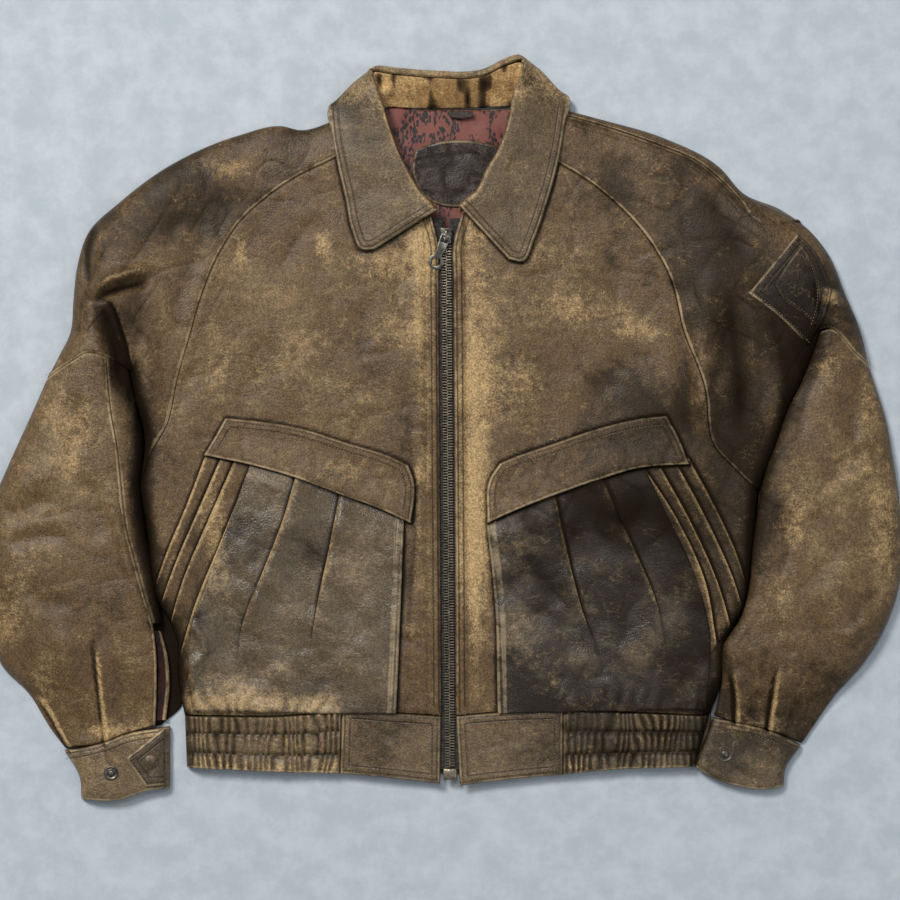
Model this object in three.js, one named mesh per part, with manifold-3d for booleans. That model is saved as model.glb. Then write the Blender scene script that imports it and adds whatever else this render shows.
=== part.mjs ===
// A leather blouson laid flat on its back, zip closed. Millimetres, +Z up, +Y towards the collar.
// The wearer's right side is at -X. The origin is on the floor, under the zip.

import * as THREE from "three";
import { mergeVertices } from "three/addons/utils/BufferGeometryUtils.js";
import Module from "manifold-3d";

const wasm = await Module();
wasm.setup();

// Driving sizes
const leather = 2; // wall of a panel
const trim = 1.6; // wall of a piece that lies on a panel
const seamGap = 0.3; // between two pieces at a seam, or one on the other
const bodyRise = 13; // how far the fronts stand off the back
const sleeveRise = 27;
const endRise = 10; // at the waistband and the cuffs
const rollWidth = 55; // from a folded edge to where the cloth is level
const rim = leather + seamGap; // height of a folded edge's lower side, on the back pieces
const rimTop = rim + trim;

const zipTop = 215;
const zipBottom = -350;
const zipEdge = 7; // zip centre to the leather's edge
const chainHalf = 5; // half the width of the closed teeth
const chainWall = 3;
const chainDrop = 0.3; // teeth below the leather's face
const tapeWidth = 12;
const tapeWall = 1;
const tapeDrop = leather + 0.7;

const collarWall = 2;
const foldLift = 9; // collar fold above the fronts
const edgeLift = 4.2; // collar edge above the fronts
const backFold = 22; // height of the fold behind the neck

// Seam and edge lines, in plan
const rightRaglan = [
  [-309, -56], [-295, -19], [-282, 3], [-271, 50], [-259, 92], [-248, 130], [-228, 179],
  [-209, 208], [-180, 235], [-148, 256], [-114, 272], [-94, 284],
];
const leftRaglan = [
  [306, -62], [286, -38], [267, -17], [256, 44], [236, 99], [223, 151], [208, 180],
  [192, 202], [152, 241], [130, 256], [112, 267], [92, 284],
];
const rightSide = [[-264, -286], [-271, -246], [-272, -210], [-294, -163], [-301, -109], [-309, -56]];
const leftSide = [[256, -286], [267, -246], [268, -213], [286, -180], [298, -119], [306, -62]];
const rightNeck = [[-16, 212], [-45, 238], [-70, 262], [-94, 284]];
const leftNeck = [[13, 214], [42, 240], [68, 264], [92, 284]];
const rightShoulder = [
  [-112, 311], [-148, 301], [-167, 305], [-209, 296], [-247, 282], [-285, 262], [-329, 229],
  [-361, 198], [-372, 165], [-376, 130], [-379, 98], [-390, 75], [-402, 52],
];
const leftShoulder = [
  [114, 322], [152, 312], [219, 292], [271, 265], [297, 237], [334, 221], [366, 197],
  [382, 176], [399, 135], [413, 102], [422, 65],
];
const leftOverarm = [
  [112, 317], [152, 306], [215, 284], [248, 270], [271, 252], [290, 232], [309, 206], [352, 206],
];
const rightElbow = [[-318, 58], [-341, 73], [-358, 77], [-375, 69], [-402, 52]];
const leftElbow = [[371, 98], [383, 100], [391, 94], [404, 79], [422, 65]];
const rightFold = [[-309, -56], [-304, -7], [-313, 31], [-318, 58]];
const leftFold = [[306, -62], [320, -25], [336, 21], [351, 50], [371, 98]];
const rightOuter = [
  [-402, 52], [-417, 18], [-442, -37], [-456, -70], [-464, -110], [-466, -150], [-460, -205],
  [-448, -236], [-421, -264], [-397, -302], [-384, -319],
];
const rightInseam = [
  [-341, 73], [-337, 24], [-330, -15], [-326, -52], [-321, -95], [-312, -130], [-304, -160],
  [-295, -193], [-291, -223], [-291, -258], [-293, -296],
];
const rightInner = [[-328, 62], [-320, 28], [-312, -17], [-316, -56], [-314, -97], [-310, -128]];
const leftOuter = [
  [422, 65], [431, 38], [440, 8], [447, -30], [453, -70], [456, -105], [456, -135],
  [450, -168], [438, -200], [418, -233], [388, -267], [355, -314],
];
const leftInner = [
  [371, 98], [354, 50], [339, 20], [328, -12], [317, -42], [309, -82], [304, -119],
  [301, -155], [292, -188], [275, -215], [274, -254], [267, -286],
];
const rightSlit = [[-295, -193], [-285, -208], [-282, -230], [-281, -254], [-284, -276], [-288, -296]];
const rightCuffSeam = [[-293, -296], [-322, -304], [-349, -314], [-384, -319]];
const leftCuffSeam = [[267, -286], [285, -292], [308, -297], [330, -304], [355, -314]];
const rightWaist = [[-264, -286], [-148, -285], [-106, -280], [-55, -283], [-7, -286]];
const leftWaist = [[256, -286], [192, -283], [115, -280], [55, -282], [8, -286]];
const rightHem = [[-262, -338], [-148, -343], [-108, -344], [-50, -349], [-8, -354]];
const leftHem = [[240, -337], [152, -341], [115, -345], [60, -350], [12, -356]];
const rightCuffEnd = [[-279, -359], [-299, -361], [-332, -371], [-368, -370]];
const leftCuffEnd = [[248, -338], [267, -349], [291, -357], [316, -360], [337, -357]];
const rightCuffSides = [[[-279, -297], [-279, -359]], [[-385, -321], [-369, -350], [-368, -370]]];
const leftCuffSides = [[[266, -288], [248, -338]], [[354, -316], [338, -341], [337, -357]]];

// Every folded edge: there the cloth comes down to the back pieces
const foldedEdges = [
  rightShoulder, rightOuter, rightFold, rightSide, [...rightInner, ...rightInseam.slice(5)],
  rightCuffSides[0], rightCuffSides[1], leftShoulder, leftOuter, leftFold, leftSide, leftInner,
  leftCuffSides[0], leftCuffSides[1], [[-264, -286], [-262, -338]], [[256, -286], [240, -337]],
];

// How the rise changes: from the fronts to the sleeves, and down to the waistband and cuffs
const bodyHalf = 190;
const sleeveBlend = 160;
const hemBlendTop = -215;
const hemBlend = 90;

// The largest folds: a line, its depth (a ridge is negative) and its half width
const folds = [
  { line: [[-342, 150], [-329, 118], [-318, 84]], depth: 9, half: 16 },
  { line: [[-350, 142], [-330, 152], [-305, 154]], depth: -5, half: 16 },
  { line: [[215, 119], [236, 60], [238, 10], [250, -33]], depth: 4, half: 18 },
  { line: [[288, 110], [292, 40]], depth: 4, half: 20 },
  { line: [[-46, 44], [-32, -40], [-30, -90]], depth: 2, half: 12 },
  { line: [[-448, -88], [-393, -63]], depth: 5, half: 18 },
  { line: [[424, -183], [393, -215]], depth: -4, half: 16 },
  { line: [[330, -213], [324, -259], [321, -296]], depth: 4, half: 12 },
  { line: [[-353, -200], [-348, -256], [-342, -306]], depth: 4, half: 12 },
];

const mix = (a, b, t) => a + (b - a) * t;
const ease = (t) => {
  const s = Math.min(Math.max(t, 0), 1);
  return s * s * (3 - 2 * s);
};
const zipX = (y) => mix(2, -2, (y - zipBottom) / (zipTop - zipBottom));

// The point at a fraction of a line, each span counting the same
function along(line, t) {
  const spans = line.length - 1;
  const i = Math.min(Math.floor(t * spans + 1e-9), spans - 1);
  return line[i].map((c, k) => mix(c, line[i + 1][k], t * spans - i));
}

function distance(line, x, y) {
  let least = Infinity;
  for (let i = 0; i + 1 < line.length; i++) {
    const [[ax, ay], [bx, by]] = [line[i], line[i + 1]];
    const length2 = (bx - ax) ** 2 + (by - ay) ** 2;
    const t = Math.min(Math.max(((x - ax) * (bx - ax) + (y - ay) * (by - ay)) / length2, 0), 1);
    least = Math.min(least, Math.hypot(x - mix(ax, bx, t), y - mix(ay, by, t)));
  }
  return least;
}

// Height of the upper cloth's outer face
function lay(x, y) {
  const inward = Math.max(Math.min(...foldedEdges.map((line) => distance(line, x, y))) - seamGap * 1.5, 0);
  const outwards = ease((Math.abs(x) - bodyHalf) / sleeveBlend);
  const rise = mix(mix(bodyRise, sleeveRise, outwards), endRise, ease((hemBlendTop - y) / hemBlend));
  const roll = Math.sqrt(1 - (1 - Math.min(inward / rollWidth, 1)) ** 2);
  let z = rimTop + rise * roll;
  for (const { line, depth, half } of folds)
    z -= depth * roll * Math.exp(-((distance(line, x, y) / half) ** 2));
  return Math.max(z, rimTop);
}

// The same, for a piece that goes round the folded edge and into its own lower side
function layAround(x, y) {
  const z = lay(x, y);
  return z > rimTop ? z : leather * 0.8;
}

// The fractions at which lines have their points, with some more
function stops(lines, more = []) {
  const fractions = lines.flatMap((line) => line.map((_, i) => i / (line.length - 1)));
  const rounded = [...fractions, ...more].map((t) => +t.toFixed(6));
  return [...new Set(rounded)].sort((a, b) => a - b);
}

// Plan points between four edges: left and right run from start to end
function patch({ start, end, left, right, across = [] }) {
  const columns = stops([start, end], across);
  const grid = stops([left, right]).map((v) =>
    columns.map((u) =>
      [0, 1].map((k) => {
        const ruled = mix(along(left, v)[k], along(right, v)[k], u);
        const atStart = along(start, u)[k] - mix(left[0][k], right[0][k], u);
        const atEnd = along(end, u)[k] - mix(left.at(-1)[k], right.at(-1)[k], u);
        return ruled + (1 - v) * atStart + v * atEnd;
      }),
    ),
  );
  // A little over half of the seam's gap, taken off every edge
  const inset = (p, q) => {
    const length = Math.hypot(q[0] - p[0], q[1] - p[1]);
    [0, 1].forEach((k) => (p[k] += ((q[k] - p[k]) * seamGap * 0.6) / length));
  };
  grid.forEach((row) => {
    inset(row[0], row[1]);
    inset(row.at(-1), row.at(-2));
  });
  grid[0].forEach((p, j) => inset(p, grid[1][j]));
  grid.at(-1).forEach((p, j) => inset(p, grid.at(-2)[j]));
  return grid;
}

const lift = (grid, height) => grid.map((row) => row.map(([x, y]) => [x, y, height(x, y)]));
const move = (grid, dz) => grid.map((row) => row.map(([x, y, z]) => [x, y, z + dz]));

const steepest = 2.4; // most that a steep wall is taken down, in walls

// The same grid below it: a wall measured square to the cloth, set off straight down, so seams stay upright
function lining(grid, wall, lowest) {
  const at = (i, j) => new THREE.Vector3(...grid[i][j]);
  return grid.map((row, i) =>
    row.map((p, j) => {
      const along1 = at(i, Math.min(j + 1, row.length - 1)).sub(at(i, Math.max(j - 1, 0)));
      const along2 = at(Math.min(i + 1, grid.length - 1), j).sub(at(Math.max(i - 1, 0), j));
      const normal = along1.cross(along2).normalize();
      const drop = wall * Math.min(1 / Math.abs(normal.z), steepest);
      return [p[0], p[1], Math.max(p[2] - drop, lowest)];
    }),
  );
}

// A closed wall between two grids of the same size
function wallBetween(outer, inner) {
  const rows = outer.length;
  const columns = outer[0].length;
  const positions = [...outer.flat(2), ...inner.flat(2)];
  const id = (i, j, layer) => layer * rows * columns + i * columns + j;
  const index = [];
  const quad = (a, b, c, d) => index.push(a, b, c, a, c, d);
  for (let i = 0; i + 1 < rows; i++)
    for (let j = 0; j + 1 < columns; j++) {
      quad(id(i, j, 0), id(i, j + 1, 0), id(i + 1, j + 1, 0), id(i + 1, j, 0));
      quad(id(i, j, 1), id(i + 1, j, 1), id(i + 1, j + 1, 1), id(i, j + 1, 1));
    }
  for (let j = 0; j + 1 < columns; j++) {
    quad(id(0, j, 1), id(0, j + 1, 1), id(0, j + 1, 0), id(0, j, 0));
    quad(id(rows - 1, j, 0), id(rows - 1, j + 1, 0), id(rows - 1, j + 1, 1), id(rows - 1, j, 1));
  }
  for (let i = 0; i + 1 < rows; i++) {
    quad(id(i, 0, 0), id(i + 1, 0, 0), id(i + 1, 0, 1), id(i, 0, 1));
    const last = columns - 1;
    quad(id(i, last, 1), id(i + 1, last, 1), id(i + 1, last, 0), id(i, last, 0));
  }
  const geometry = new THREE.BufferGeometry();
  geometry.setAttribute("position", new THREE.Float32BufferAttribute(positions, 3));
  geometry.setIndex(index);
  return volume(geometry) < 0 ? turned(geometry) : geometry;
}

function volume(geometry) {
  const { position } = geometry.attributes;
  const [a, b, c] = [new THREE.Vector3(), new THREE.Vector3(), new THREE.Vector3()];
  let sum = 0;
  for (let i = 0; i < geometry.index.count; i += 3) {
    [a, b, c].forEach((v, k) => v.fromBufferAttribute(position, geometry.index.getX(i + k)));
    sum += a.dot(b.cross(c));
  }
  return sum;
}

function turned(geometry) {
  const { array } = geometry.index;
  for (let i = 0; i < array.length; i += 3) [array[i], array[i + 1]] = [array[i + 1], array[i]];
  return geometry;
}

// Solids, joined and cut
function toSolid(geometry) {
  const bare = new THREE.BufferGeometry();
  const loose = geometry.index ? geometry.toNonIndexed() : geometry;
  bare.setAttribute("position", loose.attributes.position);
  const merged = mergeVertices(bare, 1e-4);
  return new wasm.Manifold(
    new wasm.Mesh({
      numProp: 3,
      vertProperties: new Float32Array(merged.attributes.position.array),
      triVerts: new Uint32Array(merged.index.array),
    }),
  );
}

function toGeometry(solid) {
  const mesh = solid.getMesh();
  const geometry = new THREE.BufferGeometry();
  geometry.setAttribute("position", new THREE.Float32BufferAttribute(mesh.vertProperties, 3));
  geometry.setIndex(new THREE.BufferAttribute(new Uint32Array(mesh.triVerts), 1));
  return geometry;
}

const join = (...geometries) => toGeometry(geometries.map(toSolid).reduce((a, b) => a.add(b)));

// A closed pattern outline: a point's third value rounds its corner
function pattern(points) {
  const shape = new THREE.Shape();
  points.forEach(([x, y, radius = 0], i) => {
    const corner = new THREE.Vector2(x, y);
    const towards = (q) => new THREE.Vector2(q[0], q[1]).sub(corner).setLength(radius).add(corner);
    const from = towards(points.at(i - 1));
    const to = towards(points[(i + 1) % points.length]);
    if (i === 0) shape.moveTo(from.x, from.y);
    else shape.lineTo(from.x, from.y);
    if (radius) shape.quadraticCurveTo(x, y, to.x, to.y);
  });
  return shape;
}

const extruded = (shape, depth, z) =>
  new THREE.ExtrudeGeometry(shape, { depth, bevelEnabled: false, curveSegments: 5 }).translate(0, 0, z);

const flat = (points, wall = leather, z = 0) => extruded(pattern(points), wall, z);

const cutterDepth = 200; // reaches through every panel
const cutterFloor = -50;

// A wall above a grid, cut to an outline
function cutSheet(bottom, wall, points) {
  const sheet = toSolid(wallBetween(move(bottom, wall), bottom));
  return toGeometry(sheet.intersect(toSolid(extruded(pattern(points), cutterDepth, cutterFloor))));
}

// A piece that lies on a panel: the panel's own points moved out, cut to the outline
const layOn = (panelGrid, layers, points) =>
  cutSheet(move(panelGrid, seamGap + layers * (trim + seamGap)), trim, points);

// A strip of one width along a line, as an outline
function band(line, width) {
  const side = (i, s) => {
    const [a, b] = [line[Math.max(i - 1, 0)], line[Math.min(i + 1, line.length - 1)]];
    const length = Math.hypot(b[0] - a[0], b[1] - a[1]);
    const off = (s * width) / 2 / length;
    return [line[i][0] - (b[1] - a[1]) * off, line[i][1] + (b[0] - a[0]) * off];
  };
  const indices = line.map((_, i) => i);
  return [...indices.map((i) => side(i, 1)), ...indices.reverse().map((i) => side(i, -1))];
}

const garment = new THREE.Group();

function add(name, geometry, color, roughness = 0.6, metalness = 0) {
  const material = new THREE.MeshStandardMaterial({ color, roughness, metalness });
  const mesh = new THREE.Mesh(geometry, material);
  mesh.name = name;
  garment.add(mesh);
  return mesh;
}

const brown = 0x6d5238;
const darkBrown = 0x4a3a2c;
const greyBrown = 0x4d453b;
const tan = 0x8a6238;
const liningRed = 0x8c4a44;
const antiqueMetal = 0x3a352e;

function panel(edges) {
  const grid = lift(patch(edges), lay);
  return { grid, geometry: wallBetween(grid, lining(grid, leather, rim)) };
}

// A panel whose folded edges join its lower side
function wrappedPanel(edges) {
  const grid = lift(patch(edges), layAround);
  return { grid, geometry: wallBetween(grid, lining(grid, leather, leather / 4)) };
}

// The back pieces: flat on the floor
const rightNeckBack = [[-94, 284], [-92, 312], [-66, 321]];
const leftNeckBack = [[92, 284], [92, 312], [61, 322]];
const shrink = (line, dx, dy = 0) => line.map(([x, y]) => [x + dx, y + dy]);

function addBack() {
  add(
    "back_panel",
    flat([
      ...shrink(rightSide.slice(0, -1), seamGap / 2), ...shrink(rightRaglan, 0.4),
      ...rightNeckBack.slice(1), ...[...leftNeckBack].reverse().slice(0, 2),
      ...shrink([...leftRaglan].reverse(), -0.4), ...shrink([...leftSide].reverse().slice(1), -seamGap / 2),
    ]),
    brown,
  );
  const bandOutline = [
    [-262, -286.4], [254, -286.4], [240, -340], [60, -345], [-40, -345], [-261, -340],
  ];
  add("back_waistband", flat(bandOutline), tan);
  add(
    "right_sleeve_upper_back",
    flat([...shrink(rightRaglan, -0.2), ...rightShoulder, ...[...rightElbow].reverse().slice(1, -1),
      ...[...rightFold].reverse().slice(0, -1)]),
    brown,
  );
  const strip = wrappedPanel({
    start: [[112, 318], [114, 322]],
    end: [[352, 206.5], [355, 207]],
    left: leftOverarm.map(([x, y]) => [x, y + seamGap]),
    right: [[114, 322], [152, 312], [219, 292], [246, 280], [271, 265], [297, 237], [334, 221], [355, 207]],
    across: [0.5, 0.8],
  });
  add(
    "left_sleeve_upper_back",
    join(
      flat([...shrink(leftRaglan, 0.2), ...leftShoulder, ...[...leftElbow].reverse().slice(1, -1),
        ...[...leftFold].reverse().slice(0, -1)]),
      strip.geometry,
    ),
    brown,
  );
}

// The fronts, from the hem seam to the neck
const zipRows = [-286, -246, -205, -160, -112, -62, -22, 8, 48, 88, 120, 155, 185];
const edgeBeside = (side) => zipRows.map((y) => [zipX(y) + side * zipEdge, y]);
const frontAcross = [0.03, 0.1, 0.22, 0.36, 0.64, 0.8, 0.92];

function front(side, raglan, neck, waist) {
  return panel({
    start: waist,
    end: [raglan.at(-1), neck.at(-1)],
    left: [...side.slice(0, -1), ...raglan],
    right: [...edgeBeside(Math.sign(neck[0][0])), ...neck],
    across: frontAcross,
  });
}

// The side edge and the zip edge have as many points, so that the rows run straight across
const rightFront = front(rightSide, rightRaglan, [...rightNeck.slice(0, 3), [-86, 278]], rightWaist);
const leftFront = front(leftSide, leftRaglan, [...leftNeck.slice(0, 3), [84, 278]], leftWaist);

function addFronts() {
  add("right_front", rightFront.geometry, brown);
  add("left_front", leftFront.geometry, brown);
}

// The sleeves: the upper part from the raglan seam to the elbow, the lower part down to the cuff
const leftUpper = panel({
  start: [...leftRaglan, leftOverarm[0]],
  end: leftElbow,
  left: leftFold,
  right: [...leftOverarm.slice(0, -1).map(([x, y]) => [x, y - seamGap]), [357, 204], [371, 190], [382, 176],
    [399, 135], [413, 102], [422, 65]],
});
const rightUpper = panel({
  start: [...rightRaglan, rightShoulder[0]],
  end: rightElbow,
  left: rightFold,
  right: rightShoulder,
});
const rightLower = panel({
  start: rightElbow.slice(1),
  end: rightCuffSeam,
  left: rightInseam,
  right: rightOuter,
  across: [0.02, 0.1, 0.5, 0.82, 0.92, 0.98],
});
const leftLower = panel({
  start: leftElbow,
  end: leftCuffSeam,
  left: leftInner,
  right: leftOuter,
  across: [0.02, 0.1, 0.9, 0.98],
});

function addSleeves() {
  add("right_sleeve_upper_front", rightUpper.geometry, brown);
  add("left_sleeve_upper_front", leftUpper.geometry, brown);

  // Pleats stand half a layer above the sleeve
  const pleatWidth = 9;
  const pleats = (grid, lines) =>
    lines.map((line) => cutSheet(move(grid, -trim / 2), trim, band(line, pleatWidth)));
  const rightPleats = [
    [[-353, -200], [-348, -256], [-343, -304]],
    [[-401, -284], [-392, -297], [-382, -312]],
  ];
  const leftPleats = [[[287, -244], [291, -266], [290, -288]], [[332, -238], [328, -262], [323, -297]]];
  add("right_sleeve_lower_outer", join(rightLower.geometry, ...pleats(rightLower.grid, rightPleats)), brown);
  add("left_sleeve_lower_outer", join(leftLower.geometry, ...pleats(leftLower.grid, leftPleats)), brown);

  // The under piece goes round the inner edge, up to the inseam
  const wrap = wrappedPanel({
    start: [[-340.6, 72.2], [-328, 62]],
    end: [rightInseam[5], rightInner[5]],
    left: rightInseam.slice(0, 6).map(([x, y]) => [x + seamGap, y]),
    right: rightInner,
    across: [0.5, 0.85],
  });
  add(
    "right_sleeve_lower_under",
    join(
      flat([...shrink(rightElbow, 0, -0.6), ...shrink(rightOuter.slice(1), 0.1),
        ...[...rightCuffSeam].reverse().slice(1, -1), ...[...rightSlit].reverse(),
        ...[...rightInner, [-303, -162]].reverse().slice(0, -1)]),
      wrap.geometry,
    ),
    darkBrown,
  );
  add(
    "left_sleeve_lower_under",
    flat([...shrink(leftElbow, 0, -0.6), ...leftOuter.slice(1), ...[...leftCuffSeam].reverse().slice(1, -1),
      ...shrink([...leftInner].reverse().slice(0, -1), 0.3)]),
    darkBrown,
  );
  add(
    "right_slit_lining",
    flat([[-292, -203], ...shrink(rightSlit.slice(1, -1), -0.5), [-290, -291], [-292, -291], [-290, -258],
      [-290, -223]], 1, rim),
    liningRed,
  );
}

// The cuffs: a band that goes round the outer edge, open at the inner one
const cuffAcross = [0.05, 0.2, 0.9, 0.97];
const rightCuffTop = wrappedPanel({
  start: [[-279, -297], ...shrink(rightCuffSeam.slice(1, -1), 0, -seamGap), [-385, -321]],
  end: rightCuffEnd,
  left: rightCuffSides[0],
  right: rightCuffSides[1],
  across: cuffAcross,
});
const leftCuffTop = wrappedPanel({
  start: [leftCuffSides[0][0], ...shrink(leftCuffSeam.slice(1, -1), 0, -1), leftCuffSides[1][0]],
  end: leftCuffEnd,
  left: leftCuffSides[0],
  right: leftCuffSides[1],
  across: cuffAcross,
});

function snap(name, x, y, z, radius, height) {
  const dome = [[0, 0], [radius, 0], [radius, height * 0.45], [radius * 0.8, height * 0.85], [0, height]];
  const geometry = new THREE.LatheGeometry(dome.map(([r, h]) => new THREE.Vector2(r, h)), 16);
  const mesh = add(name, geometry, antiqueMetal, 0.4, 0.8);
  mesh.rotation.x = Math.PI / 2;
  mesh.position.set(x, y, z);
}

// The cloth's highest point under a round part
function highest(x, y, radius) {
  const eighths = [...Array(8).keys()].map((k) => (k * Math.PI) / 4);
  const around = eighths.map((angle) => lay(x + radius * Math.cos(angle), y + radius * Math.sin(angle)));
  return Math.max(...around, lay(x, y));
}

function addCuffs() {
  const under = (seam, sides, end) => [
    ...shrink(seam, 0, -1.2), ...sides[1].slice(1), ...[...end].reverse().slice(1, -1),
    sides[0][1],
  ];
  add("right_cuff", join(rightCuffTop.geometry,
    flat(under([[-279, -296], ...rightCuffSeam.slice(1)], rightCuffSides, rightCuffEnd))), tan);
  add("left_cuff", join(leftCuffTop.geometry, flat(under(leftCuffSeam, leftCuffSides, leftCuffEnd))), tan);
  const tabOutline = [[-320, -328, 3], [-305, -318], [-290, -302], [-284, -299], [-284, -356], [-300, -358]];
  add("right_cuff_tab", layOn(rightCuffTop.grid, 0, tabOutline), tan);
  const tabEnd = [[265, -271], [264, -288], [247, -335], [243, -335], [257.5, -288], [261.8, -271]];
  add("left_cuff_tab", flat(tabEnd, 1.2, rim), tan);
  const studWall = 2.2;
  const capLift = trim + 2 * seamGap + 0.6; // over the tab
  const studLift = seamGap + 0.2;
  snap("right_cuff_cap", -297, -332, highest(-297, -332, 9) + capLift, 8.8, 2.6);
  snap("right_cuff_stud", -337, -343, highest(-337, -343, 8) + studLift, 7.5, studWall);
  snap("left_cuff_stud", 277, -324, highest(277, -324, 8) + studLift, 8.5, studWall);
}

// The waistband: a plain tab beside the zip and a gathered length round each side
function addWaistband() {
  const sides = [["right", rightWaist, rightHem], ["left", leftWaist, leftHem]];
  sides.forEach(([name, waist, hem]) => {
    const lowered = shrink(waist, 0, -seamGap);
    const piece = (from, to, across) =>
      panel({
        start: lowered.slice(from, to + 1),
        end: hem.slice(from, to + 1),
        left: [lowered[from], hem[from]],
        right: [lowered[to], hem[to]],
        across,
      }).geometry;
    add(name + "_waistband_side", piece(0, 2, [0.03, 0.1, 0.25]), tan);
    add(name + "_waistband_tab", piece(2, 4, []), tan);
  });
}

// The pockets: a pleated pouch, tucks beside it and a flap across both
function addPocket(name, frontGrid, { pouch, pleats, side, tucks, flap }) {
  const raised = (line, width) => cutSheet(move(frontGrid, seamGap + trim / 2), trim, band(line, width));
  const pleatWidth = 8;
  const tuckWidth = 5;
  const pleatRidges = pleats.map((line) => raised(line, pleatWidth));
  const tuckRidges = tucks.map((line) => raised(line, tuckWidth));
  add(name + "_pocket_pouch", join(layOn(frontGrid, 0, pouch), ...pleatRidges), greyBrown);
  add(name + "_pocket_tucks", join(layOn(frontGrid, 0, side), ...tuckRidges), brown);
  // The flap clears the ridges, which stand half a layer above the pouch
  add(name + "_pocket_flap", layOn(move(frontGrid, (trim + seamGap) / 2), 1, flap), brown);
}

function addPockets() {
  addPocket("right", rightFront.grid, {
    pouch: [
      [-193, -33], [-38, -84], [-47, -93], [-50, -227], [-54, -281], [-240, -281], [-262, -250],
      [-262, -212], [-250, -190],
    ],
    pleats: [[[-108, -71], [-127, -150], [-133, -208]], [[-150, -56], [-180, -135], [-202, -200]]],
    side: [[-226, -24], [-194.5, -34], [-251, -190], [-268, -200], [-284, -172], [-284, -158]],
    tucks: [[[-213, -36], [-255, -118], [-272, -166]], [[-203, -40], [-248, -135], [-264, -180]]],
    flap: [
      [-222, 12, 12], [-148, 2], [-56, -27], [-36, -40, 12], [-33, -90], [-38, -91], [-106, -65],
      [-148, -49], [-243, -25],
    ],
  });
  addPocket("left", leftFront.grid, {
    pouch: [
      [190, -42], [44, -86], [48, -98], [50, -273], [60, -281], [225, -281], [258, -250],
      [258, -206], [246, -186],
    ],
    pleats: [[[106, -66], [125, -130], [152, -212]], [[158, -54], [182, -110], [206, -170]]],
    side: [[191.5, -41], [228, -34], [280, -120], [284, -160], [270, -192], [247.5, -185]],
    tucks: [[[206, -42], [244, -108], [264, -160]], [[218, -40], [256, -100], [274, -146]]],
    flap: [
      [64, -27], [152, 2], [190, 11], [211, 14], [226, 6, 10], [240, -34], [190, -38], [152, -49],
      [106, -65], [41, -92], [38, -86], [42, -42, 14],
    ],
  });
}

function addSleevePatch() {
  const grid = leftUpper.grid;
  const patchOutline = [
    [299, 136], [322, 164], [348, 196], [366, 178], [380, 140, 8], [376, 106], [358, 84], [322, 119],
  ];
  const flapOutline = [[350, 184, 4], [324, 145], [333, 129], [364, 103], [371, 133, 6], [364, 160]];
  add("left_sleeve_patch", layOn(grid, 0, patchOutline), darkBrown);
  add("left_sleeve_patch_flap", layOn(grid, 1, flapOutline), darkBrown);
}

// The zip: two tapes, the closed teeth, the slider, its pull and the bottom box
function addZip() {
  const rows = [zipBottom + 12, ...zipRows, zipTop - 3];
  const strip = (from, to, y0 = rows[0]) => {
    const ys = [y0, ...rows.filter((y) => y > y0)];
    return lift(ys.map((y) => [zipX(y) + from, zipX(y) + to].map((x) => [x, y])), lay);
  };
  const tape = (side) => {
    const outer = move(strip(side * (chainHalf + seamGap), side * (chainHalf + tapeWidth)), -tapeDrop);
    return wallBetween(outer, move(outer, -tapeWall));
  };
  add("right_zip_tape", tape(-1), darkBrown, 0.9);
  add("left_zip_tape", tape(1), darkBrown, 0.9);
  const teeth = move(strip(-chainHalf, chainHalf), -chainDrop);
  add("zip_teeth", wallBetween(teeth, move(teeth, -chainWall)), antiqueMetal, 0.4, 0.8);

  const boxWall = 4;
  const boxDrop = 3.6; // its lower side, below the leather's face
  const boxOutline = [[-4.5, -339], [8.5, -339], [8.5, -350], [-4.5, -350]];
  add("zip_box", flat(boxOutline, boxWall, lay(2, zipBottom) - boxDrop), antiqueMetal, 0.4, 0.8);
  addSlider();
}

const sliderY = 194;
const sliderTop = 2; // plate thickness
const bridgeWidth = 2.4;
const pullWall = 1.8;
const barLift = 1.9; // middle of the pull's bar above the plate: its half wall clears the plate
const pullLength = 28; // bar to the ring's centre
const pullYaw = 21; // degrees off the zip's line, towards the wearer's right
const pullDip = 3; // degrees, so that it lies on the teeth

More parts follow.
